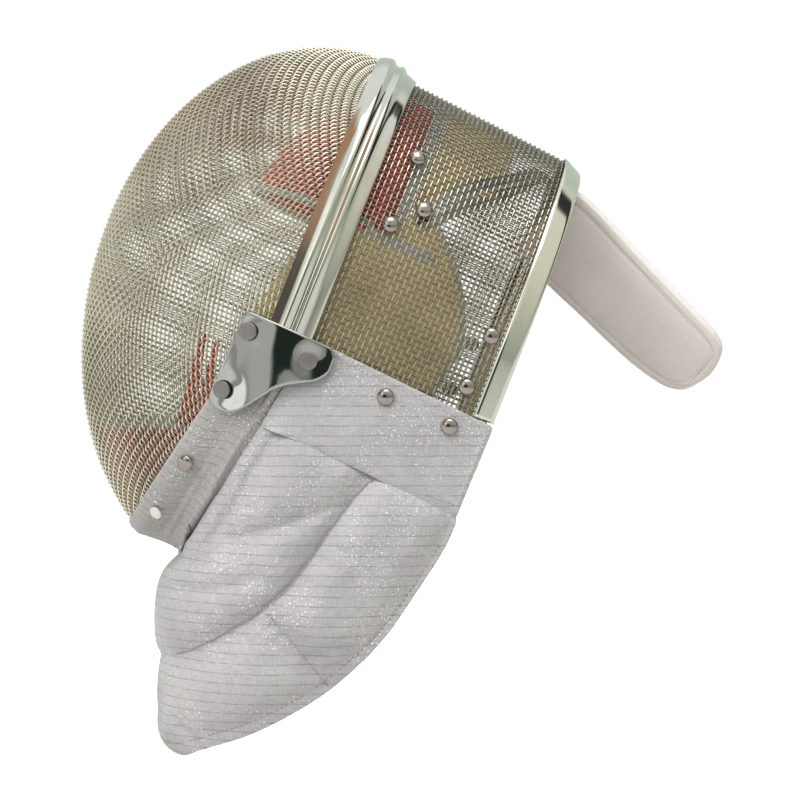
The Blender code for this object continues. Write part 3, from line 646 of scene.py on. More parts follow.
def stitch_row(name, rows, material="grey_thread", pitch=2.6, length=1.7, radius=0.2,
               matrix=ROW_FROM_MASK):
    """Short stitches along runs of points in millimetres."""
    runs = []
    for row in rows:
        places = even_steps(row, pitch / 4)
        size = max(int(4 * length / pitch), 2)
        runs += [places[i:i + size + 1] for i in range(0, len(places) - size - 1, 4)]
    wire_piece(name, runs, radius, material, matrix=matrix, sides=0)


def surface_tree(piece):
    """A search tree of a piece's faces as they are before its thickness is added."""
    verts = [vert.co.copy() for vert in piece.data.vertices]
    return BVHTree.FromPolygons(verts, [list(face.vertices) for face in piece.data.polygons])


def evened(row, reach=3):
    """A run of points with its small jumps smoothed away."""
    row = np.array(row)
    ends = np.concatenate([np.repeat(row[:1], reach, 0), row, np.repeat(row[-1:], reach, 0)])
    share = np.ones(2 * reach + 1) / (2 * reach + 1)
    smoothed = np.stack([np.convolve(ends[:, axis], share, "valid") for axis in range(3)], axis=1)
    smoothed[0], smoothed[-1] = row[0], row[-1]
    return smoothed


def on_surface(tree, points, matrix, lift):
    """Points in millimetres moved to the nearest place of a surface, and out along its normal."""
    back = matrix.inverted()
    placed = []
    for point in points:
        place, normal, _, _ = tree.find_nearest(matrix @ Vector(point))
        placed.append(back @ (place + normal * lift * MM))
    return placed


# ---------------------------------------------------------------- the shape of the wire

HALF_WIDTH = 95.0
REAR_HALF_WIDTH = 93.0
WIDEST_Z = 35.0
DOME_TIP_Y = -195.2
DOME_ABOVE = dict(rise=144.5, depth=109.6)
DOME_BELOW = dict(rise=175.0, depth=136.0)
DOME_BLEND = (-35.0, 25.0)
CHIN_LINE = dict(y=-100.0, z=-37.0, slope=0.2235)
CHIN_COVER = 8.0
CROWN = [(-90.0, 179.5), (-80.5, 179.5), (-60.0, 173.2), (-10.0, 168.6), (36.0, 164.0), (50.0, 158.6)]
HOOP_JOINT_Y = -81.0
CROWN_END_Y = 47.6
SIDE_EDGE = dict(y=-45.6, z=11.0, slope=-0.0785)
SIDE_UNDER_CLOTH = 8.0

WIRE_PITCH = 3.0
WIRE_RADIUS = 0.57
CRIMP = 0.8
CROSS_CRIMP = 0.36
WIRE_DEPTH = 1.4
WIRES_ABOVE, WIRES_BELOW, WIRES_ASIDE = 112, 120, 92
ARCH_LEG_WIRES = 13
ARCH_COUNT_Y = -16.0


def dome_depth(z):
    share = smooth_share(z, WIDEST_Z + DOME_BLEND[0], WIDEST_Z + DOME_BLEND[1])
    return DOME_BELOW["depth"] + share * (DOME_ABOVE["depth"] - DOME_BELOW["depth"])


def dome_rise(z):
    return np.where(z > WIDEST_Z, DOME_ABOVE["rise"], DOME_BELOW["rise"])


def dome_half_width(y, z):
    """Half the dome's width at a place of the side view, and zero outside it."""
    back = 1 - (y - DOME_TIP_Y) / dome_depth(z)
    share = 1 - back * back - ((z - WIDEST_Z) / dome_rise(z)) ** 2
    return HALF_WIDTH * sqrt(share) if share > 0 else 0.0


def upright_dome_half_width(y, z):
    return dome_half_width(*tipped_back(y, z))


def side_half_width(y):
    share = (y - CROWN[0][0]) / (CROWN[-1][0] - CROWN[0][0])
    return HALF_WIDTH + share * (REAR_HALF_WIDTH - HALF_WIDTH)


def crown_point(y, turn, height=0.0):
    """A place on the crown's arch: turn is 0 at its left foot and pi at its right foot."""
    width = side_half_width(y)
    rise = table_value(CROWN, y) - WIDEST_Z
    normal = Vector((cos(turn) / width, 0.0, sin(turn) / rise)).normalized()
    return Vector((width * cos(turn), y, WIDEST_Z + rise * sin(turn))) + normal * height


def side_half_width_at(y, z):
    """Half the width of the crown and sides at a place of the side view."""
    up = max(z - WIDEST_Z, 0.0) / (table_value(CROWN, y) - WIDEST_Z)
    return side_half_width(y) * sqrt(max(1 - up * up, 0.0))


def wall_half_width(y, z):
    """Half the width of the wire at a place of the side view, from the dome over to the sides."""
    dome = dome_half_width(min(y, -70.0), z)
    return dome + smooth_share(y, -96.0, -64.0) * (side_half_width_at(y, z) - dome)


# ---------------------------------------------------------------- woven wire


def dome_field(points):
    """Zero on the dome's outer face, below zero inside it, for an array of places in the mask frame."""
    x, y, z = points.T
    back = np.maximum(1 - (y - DOME_TIP_Y) / dome_depth(z), 0)
    return back**2 + ((z - WIDEST_Z) / dome_rise(z)) ** 2 + (x / HALF_WIDTH) ** 2 - 1


def field_slope(points, reach=0.05):
    slope = np.empty_like(points)
    for axis, step in enumerate(np.eye(3) * reach):
        slope[:, axis] = (dome_field(points + step) - dome_field(points - step)) / (2 * reach)
    return slope


def first_wires():
    """The wires that cross at the dome's tip: up the middle, down the middle and out to the left."""
    def quarter(across, rise):
        line = []
        for turn in np.linspace(0, pi / 2, 1500):
            z = WIDEST_Z + rise * sin(turn)
            line.append((across * sin(turn), DOME_TIP_Y + dome_depth(z) * (1 - cos(turn)), z))
        x, y, z = line[-1]
        return even_steps(line + [(x, y + step, z) for step in range(1, 60)], WIRE_PITCH)

    return quarter(0.0, DOME_ABOVE["rise"]), quarter(0.0, -DOME_BELOW["rise"]), quarter(HALF_WIDTH, 0.0)


def net_quarter(middle, across):
    """Fills one quarter of a net of even pitch between two wires, row by row along its diagonals."""
    rows, columns = len(middle), len(across)
    net = np.full((rows, columns, 3), np.nan)
    net[:, 0], net[0, :] = middle, across
    for diagonal in range(2, rows + columns - 1):
        i = np.arange(max(1, diagonal - columns + 1), min(rows - 1, diagonal - 1) + 1)
        j = diagonal - i
        a, b, c = net[i, j - 1], net[i - 1, j], net[i - 1, j - 1]
        good = ~(np.isnan(a).any(1) | np.isnan(b).any(1) | np.isnan(c).any(1))
        i, j, a, b, c = i[good], j[good], a[good], b[good], c[good]
        if not len(i):
            continue
        place = a + b - c
        for _ in range(12):
            off = np.c_[((place - a) ** 2).sum(1) - WIRE_PITCH**2,
                        ((place - b) ** 2).sum(1) - WIRE_PITCH**2, dome_field(place) * 1000]
            lean = np.stack([2 * (place - a), 2 * (place - b), field_slope(place) * 1000], axis=1)
            lean += np.eye(3) * 1e-9
            place = place - np.clip(np.linalg.solve(lean, off[..., None])[..., 0], -1.5, 1.5)
        settled = (np.abs(off).max(1) < 0.05) & (np.linalg.norm(place - c, axis=1) > 1.2)
        net[i[settled], j[settled]] = place[settled]
    return net


def on_face(points):
    """Which places lie in front of the hoop and the collar."""
    y, z = points[..., 1], points[..., 2]
    chin = (y - CHIN_LINE["y"]) - CHIN_LINE["slope"] * (z - CHIN_LINE["z"])
    return (y < HOOP_JOINT_Y + 1.2) & (chin < CHIN_COVER - 1.0)


def unbroken_runs(points, keep):
    """The stretches of a line of points that are kept."""
    runs, run = [], []
    for point, kept in zip(points, keep):
        if kept:
            run.append(point)
        elif run:
            runs.append(run)
            run = []
    return [run for run in runs + [run] if len(run) > 2]


def woven(net, keep, outward):
    """Runs of both sets of wires of a net, waved over and under each other. The first set is crimped most,
    and each wire swells a little where it lies on top."""
    i, j = np.indices(net.shape[:2])
    wave = np.where((i + j) % 2 == 0, 1.0, -1.0)[..., None]
    centre = net - outward * WIRE_DEPTH
    rising, lying = centre + outward * wave * CRIMP, centre - outward * wave * CROSS_CRIMP
    rising = np.concatenate([rising, 1.04 + 0.24 * wave], axis=2)
    lying = np.concatenate([lying, np.full_like(wave, 0.84)], axis=2)
    up = [run for n in range(net.shape[1]) for run in unbroken_runs(rising[:, n], keep[:, n])]
    across = [run for n in range(net.shape[0]) for run in unbroken_runs(lying[n], keep[n])]
    return up, across


def make_face_wire():
    up, down, left = first_wires()
    above = net_quarter(up[:WIRES_ABOVE], left[:WIRES_ASIDE])
    below = net_quarter(down[:WIRES_BELOW], left[:WIRES_ASIDE])
    half = np.concatenate([below[:0:-1], above])
    mirrored = half[:, :0:-1] * np.array([-1.0, 1.0, 1.0])
    net = np.concatenate([mirrored, half], axis=1)
    known = ~np.isnan(net).any(2)
    slope = field_slope(np.where(known[..., None], net, 0.0).reshape(-1, 3))
    outward = (slope / np.maximum(np.linalg.norm(slope, axis=1), 1e-9)[:, None]).reshape(net.shape)
    keep = known & on_face(np.where(known[..., None], net, 1e3))
    rising, lying = woven(net, keep, outward)
    wire_piece("face_wire_upright", rising, WIRE_RADIUS, "face_wire", ["front_mesh"])
    # The lying wires take the darker copy of the steel: painted shade.
    wire_piece("face_wire_across", lying, WIRE_RADIUS, "face_wire_low")


def make_side_wire():
    """Wires that run with the hoop, and wires that run back from it. The arches end in straight legs."""
    turns = np.linspace(0, pi, 3000)
    along = lengths_along([crown_point(ARCH_COUNT_Y, turn) for turn in turns])
    steps = round(along[-1] / WIRE_PITCH)
    arch_turns = np.interp(np.linspace(0, along[-1], steps + 1), along, turns)
    stations = np.arange(HOOP_JOINT_Y + 0.6, CROWN_END_Y + 0.1, WIRE_PITCH)
    net = np.zeros((len(stations), steps + 1 + 2 * ARCH_LEG_WIRES, 3))
    outward = np.zeros_like(net)
    keep = np.zeros(net.shape[:2], bool)
    for i, y in enumerate(stations):
        edge_z = SIDE_EDGE["z"] + SIDE_EDGE["slope"] * (y - SIDE_EDGE["y"])
        for j in range(net.shape[1]):
            turn = arch_turns[min(max(j - ARCH_LEG_WIRES, 0), steps)]
            drop = max(ARCH_LEG_WIRES - j, j - ARCH_LEG_WIRES - steps, 0) * WIRE_PITCH
            place, above = crown_point(y, turn), crown_point(y, turn, 1.0)
            net[i, j] = place - Vector((0, 0, drop))
            outward[i, j] = above - place
            keep[i, j] = WIDEST_Z - drop > edge_z - SIDE_UNDER_CLOTH
    arches, back = woven(net.swapaxes(0, 1), keep.swapaxes(0, 1), outward.swapaxes(0, 1))
    wire_piece("side_wire_arches", arches, WIRE_RADIUS, "side_wire", ["side_mesh"])
    # The back wires take the darker copy of the steel: painted shade.
    wire_piece("side_wire_back", back, WIRE_RADIUS, "side_wire_low")


# ---------------------------------------------------------------- hoop, rim and brackets

HOOP_SECTION = [
    # y, height above the wire
    (-83.6, -0.3), (-83.2, 0.0), (-81.6, 0.9), (-80.0, 1.8), (-78.6, 2.6), (-77.6, 3.1), (-76.8, 3.5),
    (-76.0, 3.8), (-75.2, 3.9), (-74.3, 3.6), (-73.5, 2.9), (-72.7, 2.3), (-71.8, 2.1), (-70.9, 2.3),
    (-70.1, 2.9), (-69.3, 3.6), (-68.4, 3.9), (-67.6, 3.8), (-66.8, 3.3), (-66.0, 2.5), (-65.2, 2.0),
    (-62.0, 1.8), (-59.2, 1.5), (-58.6, 0.9),
]
RIM = dict(front=37.5, back=49.4, outer=1.4, inner=-3.4, inner_front=41.0, lip=0.5, swell=0.7, slope=1.1)
HOOP_FOOT_Z = -5.0
RIM_FOOT_Z = 5.2
LEG_SHARE = 0.1

BRACKET_OUTLINE = [
    # y, z
    (-97.9, 14.0), (-46.6, 11.6), (-43.6, 7.8), (-43.4, -2.4), (-48.5, -8.6), (-61.2, -15.4),
    (-67.9, -20.4), (-76.9, -32.9), (-81.8, -38.6), (-87.0, -42.0), (-93.7, -42.0), (-99.8, -38.1),
]
BRACKET_RIVETS = [("top", -90.3, 4.2), ("low", -91.3, -29.6), ("rear", -56.4, 0.3)]
BRACKET_STANDS_OFF = 6.6
BRACKET_SHEET = 1.6
BRACKET_ROLL = 0.9
RIVET_DIP, RIVET_DIP_REACH = 0.5, 8.0
HOOP_MIDDLE_Y = -71.0


def along_table(rows, share):
    """A place on a table's line of points, by its share of the points."""
    at = share * (len(rows) - 1)
    i = min(int(at), len(rows) - 2)
    return [a + (b - a) * (at - i) for a, b in zip(rows[i], rows[i + 1])]


def arch_strip(name, section, foot_z, grid, wall, material, node):
    """A strip bent round the wire's arch, with straight legs down to its feet."""
    def place(u, v):
        y, height = along_table(section, v)
        if LEG_SHARE <= u <= 1 - LEG_SHARE:
            return crown_point(y, pi * (u - LEG_SHARE) / (1 - 2 * LEG_SHARE), height)
        foot = min(u, 1 - u) / LEG_SHARE
        side = 1 if u < 0.5 else -1
        return Vector((side * (side_half_width(y) + height), y, foot_z + (WIDEST_Z - foot_z) * foot))

    bm = face_towards(shaped_grid(*grid, place), (0, 0, 1))
    add_wall(finish_piece(name, bm, material, [node]), wall)


def make_rear_rim():
    """A strip folded round the wire's rear edge, with a rounded fold."""
    outer, inner = RIM["outer"], RIM["inner"]
    radius = (outer - inner) / 2
    start = RIM["front"] + RIM["lip"]
    flat = RIM["back"] - radius - start
    section = [(RIM["front"], outer)]
    section += [(start + flat * n / 4, outer + RIM["swell"] - RIM["slope"] * n / 4) for n in range(5)]
    top = outer + RIM["swell"] - RIM["slope"]
    for n in range(1, 13):
        turn = pi * n / 12
        high = (top + inner) / 2 + (top - inner) / 2 * cos(turn)
        section.append((RIM["back"] - radius + radius * sin(turn), high))
    section.append((RIM["inner_front"], inner))
    arch_strip("rim_strip", section, RIM_FOOT_Z, (140, len(section) - 1), 0.7, "rim_chrome", "rear_rim")


def make_bracket(side, sign):
    """A pressed plate with a rolled edge, which rides over the hoop's ridges and lies down at its rivets."""
    outline = rounded_outline(BRACKET_OUTLINE, 4.5, 5)
    bm, flat = flat_cut(outline, 2.4, insets=(0.15, 0.25, 0.4, 0.6, 0.9))
    dips = sum(RIVET_DIP * np.exp(-((np.hypot(*(flat - (y, z)).T) / RIVET_DIP_REACH) ** 4))
               for _, y, z in BRACKET_RIVETS)
    places = []
    for (y, z), near, dip in zip(flat, distances(flat, outline + outline[:1]), dips):
        over = (1 - smooth_share(abs(y - HOOP_MIDDLE_Y), 6.0, 24.0)) * smooth_share(z, -36.0, 0.0)
        rolled = BRACKET_ROLL * (1 - sqrt(1 - (1 - min(near / 1.1, 1.0)) ** 2))
        out = wall_half_width(y, z) + BRACKET_STANDS_OFF + BRACKET_ROLL + 1.1 * over - rolled - dip
        places.append(Vector((sign * out, y, z)))
    move_to(bm, places, (sign, 0, 0))
    add_wall(finish_piece(f"bracket_plate_{side}", bm, "bracket_chrome", [f"bracket_{side}"]), 1.2)


# ---------------------------------------------------------------- rivets

SIDE_RIVETS = [("crown", -41.6, 127.1), ("strap", -28.0, 100.6), ("pad", -42.0, 86.0),
               ("rim_upper", 31.0, 49.4), ("rim_lower", 28.6, 18.8)]
YOKE_RIVETS = [("front", -10.5, -2.4), ("rear", 27.4, -4.6)]
BAND_RIVETS = [("dome", -118.3, -33.4), ("flat", -135.4, -60.8)]

# radius and height, from the foot to the middle of the head
FLAT_HEAD = [(4.9, 0.0), (4.9, 1.2), (4.75, 1.5), (4.4, 1.65), (2.2, 1.7), (0.0, 1.7)]
DOME_HEAD = [(4.6, 0.0), (4.75, 0.35), (4.6, 0.9), (4.1, 1.6), (3.2, 2.25), (1.9, 2.65), (0.8, 2.8),
             (0.0, 2.8)]
SMALL_HEAD = [(3.8, 0.0), (3.8, 0.5), (3.5, 0.85), (2.6, 1.05), (1.2, 1.1), (0.0, 1.1)]


def add_rivet(bm, profile, point, normal, sides=28):
    """Adds one turned rivet head to a bmesh."""
    points = [bm.verts.new((radius, 0.0, height)) for radius, height in profile]
    edges = [bm.edges.new(pair) for pair in zip(points, points[1:])]
    before = set(bm.verts) - set(points)
    bmesh.ops.spin(bm, geom=points + edges, axis=(0, 0, 1), cent=(0, 0, 0), angle=2 * pi, steps=sides,
                   use_merge=True)
    new = [vert for vert in bm.verts if vert not in before]
    turn = Vector((0, 0, 1)).rotation_difference(normal).to_matrix().to_4x4()
    bmesh.ops.transform(bm, matrix=Matrix.Translation(point) @ turn, verts=new)


def close_ends(bm, reach):
    """Joins the vertices that lie together, and fills what stays open."""
    bmesh.ops.remove_doubles(bm, verts=bm.verts, dist=reach)
    bmesh.ops.holes_fill(bm, edges=[edge for edge in bm.edges if edge.is_boundary])
    bmesh.ops.recalc_face_normals(bm, faces=bm.faces)


def surface_normal(width_at, y, z, sign, reach=3.0):
    """The outward normal of a side surface whose half width is width_at(y, z)."""
    along_y = (width_at(y + reach, z) - width_at(y - reach, z)) / (2 * reach)
    along_z = (width_at(y, z + reach) - width_at(y, z - reach)) / (2 * reach)
    return Vector((sign, -along_y, -along_z)).normalized()


def make_rivets(name, group, rows, profile, width_at, height, material, matrix=ROW_FROM_MASK):
    """The rivets of one kind on both sides, at a height above the surface with the given half width."""
    bm = bmesh.new()
    for _, sign in SIDES:
        for _, y, z in rows:
            normal = surface_normal(width_at, y, z, sign)
            add_rivet(bm, profile, Vector((sign * width_at(y, z), y, z)) + normal * height, normal)
    close_ends(bm, 0.01)
    nodes = [f"{group}_{row[0]}_{side}" for row in rows for side, _ in SIDES]
    finish_piece(name, bm, material, nodes, matrix, smooth=50.0)


def make_all_rivets():
    make_rivets("bracket_rivet_heads", "bracket_rivet", BRACKET_RIVETS, FLAT_HEAD, wall_half_width,
                BRACKET_STANDS_OFF + BRACKET_SHEET - 0.5, "bracket_rivets")
    make_rivets("side_rivet_heads", "side_rivet", SIDE_RIVETS, DOME_HEAD, side_half_width_at, 0.1,
                "dome_rivets")
    make_rivets("yoke_rivet_heads", "yoke_rivet", YOKE_RIVETS, DOME_HEAD, side_half_width_at, 3.6,
                "dome_rivets")
    for row, profile, material in zip(BAND_RIVETS, (DOME_HEAD, SMALL_HEAD), ("dome_rivets", "flat_rivets")):
        make_rivets(f"band_rivet_{row[0]}_heads", "band_rivet", [row], profile, upright_dome_half_width, 4.2,
                    material, ROW_FROM_UPRIGHT)


# ---------------------------------------------------------------- the bib

BIB_ROWS = [
    # z, front y, half width, depth of the curved front
    (-204.0, -127.0, 75.0, 66.0), (-197.0, -136.5, 78.0, 73.0), (-188.0, -138.8, 81.0, 76.0),
    (-170.0, -139.4, 85.0, 78.0), (-150.0, -139.0, 87.5, 78.0), (-138.0, -140.2, 89.0, 79.0),
    (-110.0, -139.5, 92.0, 79.0), (-96.0, -134.5, 94.0, 77.0), (-88.0, -125.6, 95.0, 74.0),
    (0.0, -125.6, 96.5, 74.0),
]
BIB_EDGE = [
    # y, z
    (-140.0, -200.5), (-124.0, -200.5), (-112.0, -194.0), (-86.0, -184.0), (-66.0, -174.0), (-44.0, -160.5),
    (-24.0, -143.5), (-9.0, -127.0), (6.0, -105.0), (22.0, -79.5), (28.0, -66.0),
]
BAND_FRONT = dict(y=-107.5, slope=0.694)
BAND_SEAM = dict(y=-70.3, slope=0.63)
YOKE_SEAM = dict(y=-72.0, z=-17.0, slope=-0.477)
BAND_TOP_Z = 18.0
BAND_TOP_DROP = 9.0
RAIL_LOW_Z = -140.0
# share across the band, height of its middle line's lowest point
BAND_LOW = [(0.3, -76.6), (0.4, -78.0), (0.5, -79.2), (0.6, -80.4), (0.78, -83.0), (1.0, -86.6), (1.1, -85.4)]
BAND_UNDER = 3.4
BAND_WIDTH = 41.4
BAND_RIDGE, BAND_DIP, BAND_GATHERS, BAND_GROOVE = 0.60, 0.50, 0.73, 0.79
GATHER_PITCH = 3.4
BAND_SEAM_SHARE = 1.0 + BAND_UNDER / (BAND_SEAM["y"] - BAND_FRONT["y"])
PIPING_SHARE = 0.09
APRON_FRONT_WIDTH = 134.0
APRON_SIDE_WIDTH = 90.0
APRON_REACH = APRON_FRONT_WIDTH + APRON_SIDE_WIDTH
APRON_BACK_Y = 27.4
APRON_PROUD = 1.4
APRON_SEAMS = [
    # depth, reach, kind, run of upright (y, z)
    (5.0, 17.0, "sewn", [(-18.6, -41.0), (-36.2, -63.5), (-49.3, -83.5), (-63.6, -102.4), (-78.0, -114.5),
                         (-97.0, -127.5), (-117.0, -139.0), (-142.0, -147.5)]),
    (3.6, 13.0, "sewn", [(-75.4, -115.9), (-41.7, -156.0)]),
    (3.2, 13.0, "fold", [(-34.0, -57.5), (-57.0, -65.0), (-94.0, -76.0)]),
    (2.8, 12.0, "fold", [(-78.0, -96.5), (-107.0, -104.0), (-134.0, -105.0)]),
    (3.2, 7.0, "fold", [(-68.0, -16.0), (-84.0, -40.7), (-94.3, -60.8), (-104.6, -74.3), (-113.0, -83.0)]),
    (2.2, 5.0, "fold", [(-97.5, -61.0), (-104.0, -73.0), (-109.0, -80.0)]),
    (2.6, 5.0, "line", [(-122.0, -183.0), (-113.0, -189.0), (-106.0, -197.5)]),
]
HEM_WIDTH = 7.4
SEAM_TUCK = 3.4
YOKE_OUTLINE = [
    # y, z: its front edge follows the band's seam
    (-68.0, -42.4), (-65.6, -25.8), (-63.2, -14.2), (-62.4, -8.0), (-57.8, -7.4), (-57.6, 8.0), (-45.6, 11.4),
    (50.0, 3.9), (49.2, -50.2), (28.5, -48.6), (-2.8, -45.0), (-51.9, -42.2),
]
YOKE_STANDS_OFF = 2.9
YOKE_CREASE_WAY = (0.92, 0.38)
YOKE_STITCHES_BELOW_TOP = 3.8


def throat_half_width(y, z):
    front, width, depth = [table_value(BIB_ROWS, z, column) for column in (1, 2, 3)]
    ahead = min(max(1 - (y - front) / depth, 0.0), 1.0)
    return width * sqrt(1 - ahead * ahead)


def band_line(share, steps):
    """One line along the band, from its right end to its left end: share is 0 at the wire and 1 at the
    seam."""
    def line_y(z):
        front, seam = [row["y"] + row["slope"] * z for row in (BAND_FRONT, BAND_SEAM)]
        return front * (1 - share) + seam * share

    top_z = BAND_TOP_Z - BAND_TOP_DROP * share
    halves = []
    for width_at in (upright_dome_half_width, throat_half_width):
        low_z = solve(lambda z: width_at(line_y(z), z) - 0.001, RAIL_LOW_Z, top_z)
        row = []
        for i in range(steps + 1):
            z = low_z + (top_z - low_z) * (1 - cos(pi / 2 * i / steps))
            row.append(Vector((width_at(line_y(z), z), line_y(z), z)))
        row[0].x = 0.0
        halves.append(row)
    blend = smooth_share(share, 0.2, 1.0)
    half = [a.lerp(b, blend) for a, b in zip(*halves)]
    drop = curve_value(BAND_LOW, share) - half[0].z if share > BAND_LOW[0][0] else 0.0
    for i, point in enumerate(half):
        point.z += drop * (1 - i / steps) ** 2
        point.y = line_y(point.z)
    return [Vector((-p.x, p.y, p.z)) for p in reversed(half)] + half[1:]


def band_height(share, along):
    """How far the band stands out: a turned edge at the wire, a soft ridge, gathers at the seam's stitches,
    and an edge that goes down under the seam. along is the distance from the middle of the chin."""
    def hill(middle, reach):
        return np.exp(-((share - middle) / reach) ** 2)

    thin = 0.1 + 0.9 * smooth_share(along, 5.0, 55.0)
    clear = smooth_share(along, 8.0, 40.0)
    low = clear * (1 - smooth_share(along, 70.0, 130.0))
    edge = sqrt(max(1 - (1 - min(share / 0.08, 1.0)) ** 2, 0.0))
    height = 0.5 + 0.3 * thin + 2.6 * thin * edge
    height += low * hill(BAND_RIDGE, 0.065) - 0.6 * low * hill(BAND_DIP, 0.045)
    height -= 0.7 * clear * hill(BAND_GROOVE, 0.02)
    gather = sin(2 * pi * along / GATHER_PITCH + 2.0 * waves(along, 0.0, 11.0, 3.1))
    height += 0.20 * clear * hill(BAND_GATHERS, 0.055) * gather
    height += 0.3 * clear * waves(along * 0.6, share * 40, 15.0, 5.7)
    return height - (height + 1.6) * smooth_share(share, 0.84, 0.95)


def make_band():
    """A padded collar from the chin edge of the wire back to the apron's seam."""
    steps, lanes = 130, 34
    rows = [band_line(lane / lanes * BAND_SEAM_SHARE, steps) for lane in range(lanes + 1)]
    along = lengths_along(rows[lanes // 2])
    across = np.linspace(0, BAND_WIDTH, lanes + 1)

    def place(u, v):
        return rows[round(v * lanes)][round(u * 2 * steps)]

    def flat(u, v):
        return across[round(v * lanes)] * MM, along[round(u * 2 * steps)] * MM

    bm = face_towards(shaped_grid(2 * steps, lanes, place, flat), (0, -1, 0))
    layer = bm.loops.layers.uv.active
    spots = {loop.vert.index: loop[layer].uv / MM for face in bm.faces for loop in face.loops}
    push(bm, [band_height(spots[vert.index][0] / BAND_WIDTH, abs(spots[vert.index][1] - along[-1] / 2)) + 0.4
              for vert in bm.verts])
    # The band takes the darker copy of the silver cloth: painted shade.
    piece = finish_piece("collar_band", bm, "silver_lame_band", ["bib_band"], ROW_FROM_UPRIGHT)
    tree = surface_tree(piece)
    stuff(piece, 3.0, 4.0, 0.35)
    row = on_surface(tree, band_line(BAND_GROOVE * BAND_SEAM_SHARE, 90), ROW_FROM_UPRIGHT, 0.1)
    stitch_row("band_stitches", [row], matrix=ROW_FROM_UPRIGHT)
    wire_piece("band_piping", [band_line(PIPING_SHARE, 90)], 1.7, "silver_lame_band",
               matrix=ROW_FROM_UPRIGHT, sides=3)


def apron_point(s, z):
    """A place of the apron: s is its flat distance from the middle of the front, positive to the left."""
    front, width, depth = [curve_value(BIB_ROWS, z, column) for column in (1, 2, 3)]
    side = 1 if s >= 0 else -1
    if abs(s) < APRON_FRONT_WIDTH:
        turn = pi / 2 * abs(s) / APRON_FRONT_WIDTH
        return Vector((side * width * sin(turn), front + depth * (1 - cos(turn)), z))
    share = (abs(s) - APRON_FRONT_WIDTH) / APRON_SIDE_WIDTH
    start = front + depth
    return Vector((side * width, start + share * (APRON_BACK_Y - start), z))


def apron_flat(y, z):
    """The flat place of a place of the side view."""
    front, depth = curve_value(BIB_ROWS, z, 1), curve_value(BIB_ROWS, z, 3)
    ahead = 1 - (y - front) / depth
    if ahead > 0:
        return APRON_FRONT_WIDTH * (1 - atan2(ahead, sqrt(max(1 - ahead * ahead, 0.0))) / (pi / 2)), z
    return APRON_FRONT_WIDTH + APRON_SIDE_WIDTH * (y - front - depth) / (APRON_BACK_Y - front - depth), z


def apron_top(s):
    def gap(z):
        y = apron_point(s, z).y
        yoke_z = YOKE_SEAM["z"] + YOKE_SEAM["slope"] * (y - YOKE_SEAM["y"])
        return z - min(yoke_z, (y - BAND_SEAM["y"]) / BAND_SEAM["slope"])

    return solve(gap, -88.0, 0.0) + SEAM_TUCK


def apron_low(s):
    def gap(z):
        return z - curve_value(BIB_EDGE, apron_point(s, z).y)

    return min(solve(gap, -206.0, apron_top(s)), apron_top(s) - 2.0)


def apron_line(height_at, reach, count):
    """Flat places along the left half of the apron's top, low edge or hem."""
    return [(s, height_at(s)) for s in np.linspace(0, reach, count)]


def hem_z(s):
    return apron_low(s) + HEM_WIDTH


def seam_run(run):
    """A seam given in the side view, as a fine run of flat places."""
    fine = []
    for a, b in zip(run, run[1:]):
        fine += [(a[0] + (b[0] - a[0]) * k / 12, a[1] + (b[1] - a[1]) * k / 12) for k in range(12)]
    return [apron_flat(*place) for place in fine + [run[-1]]]


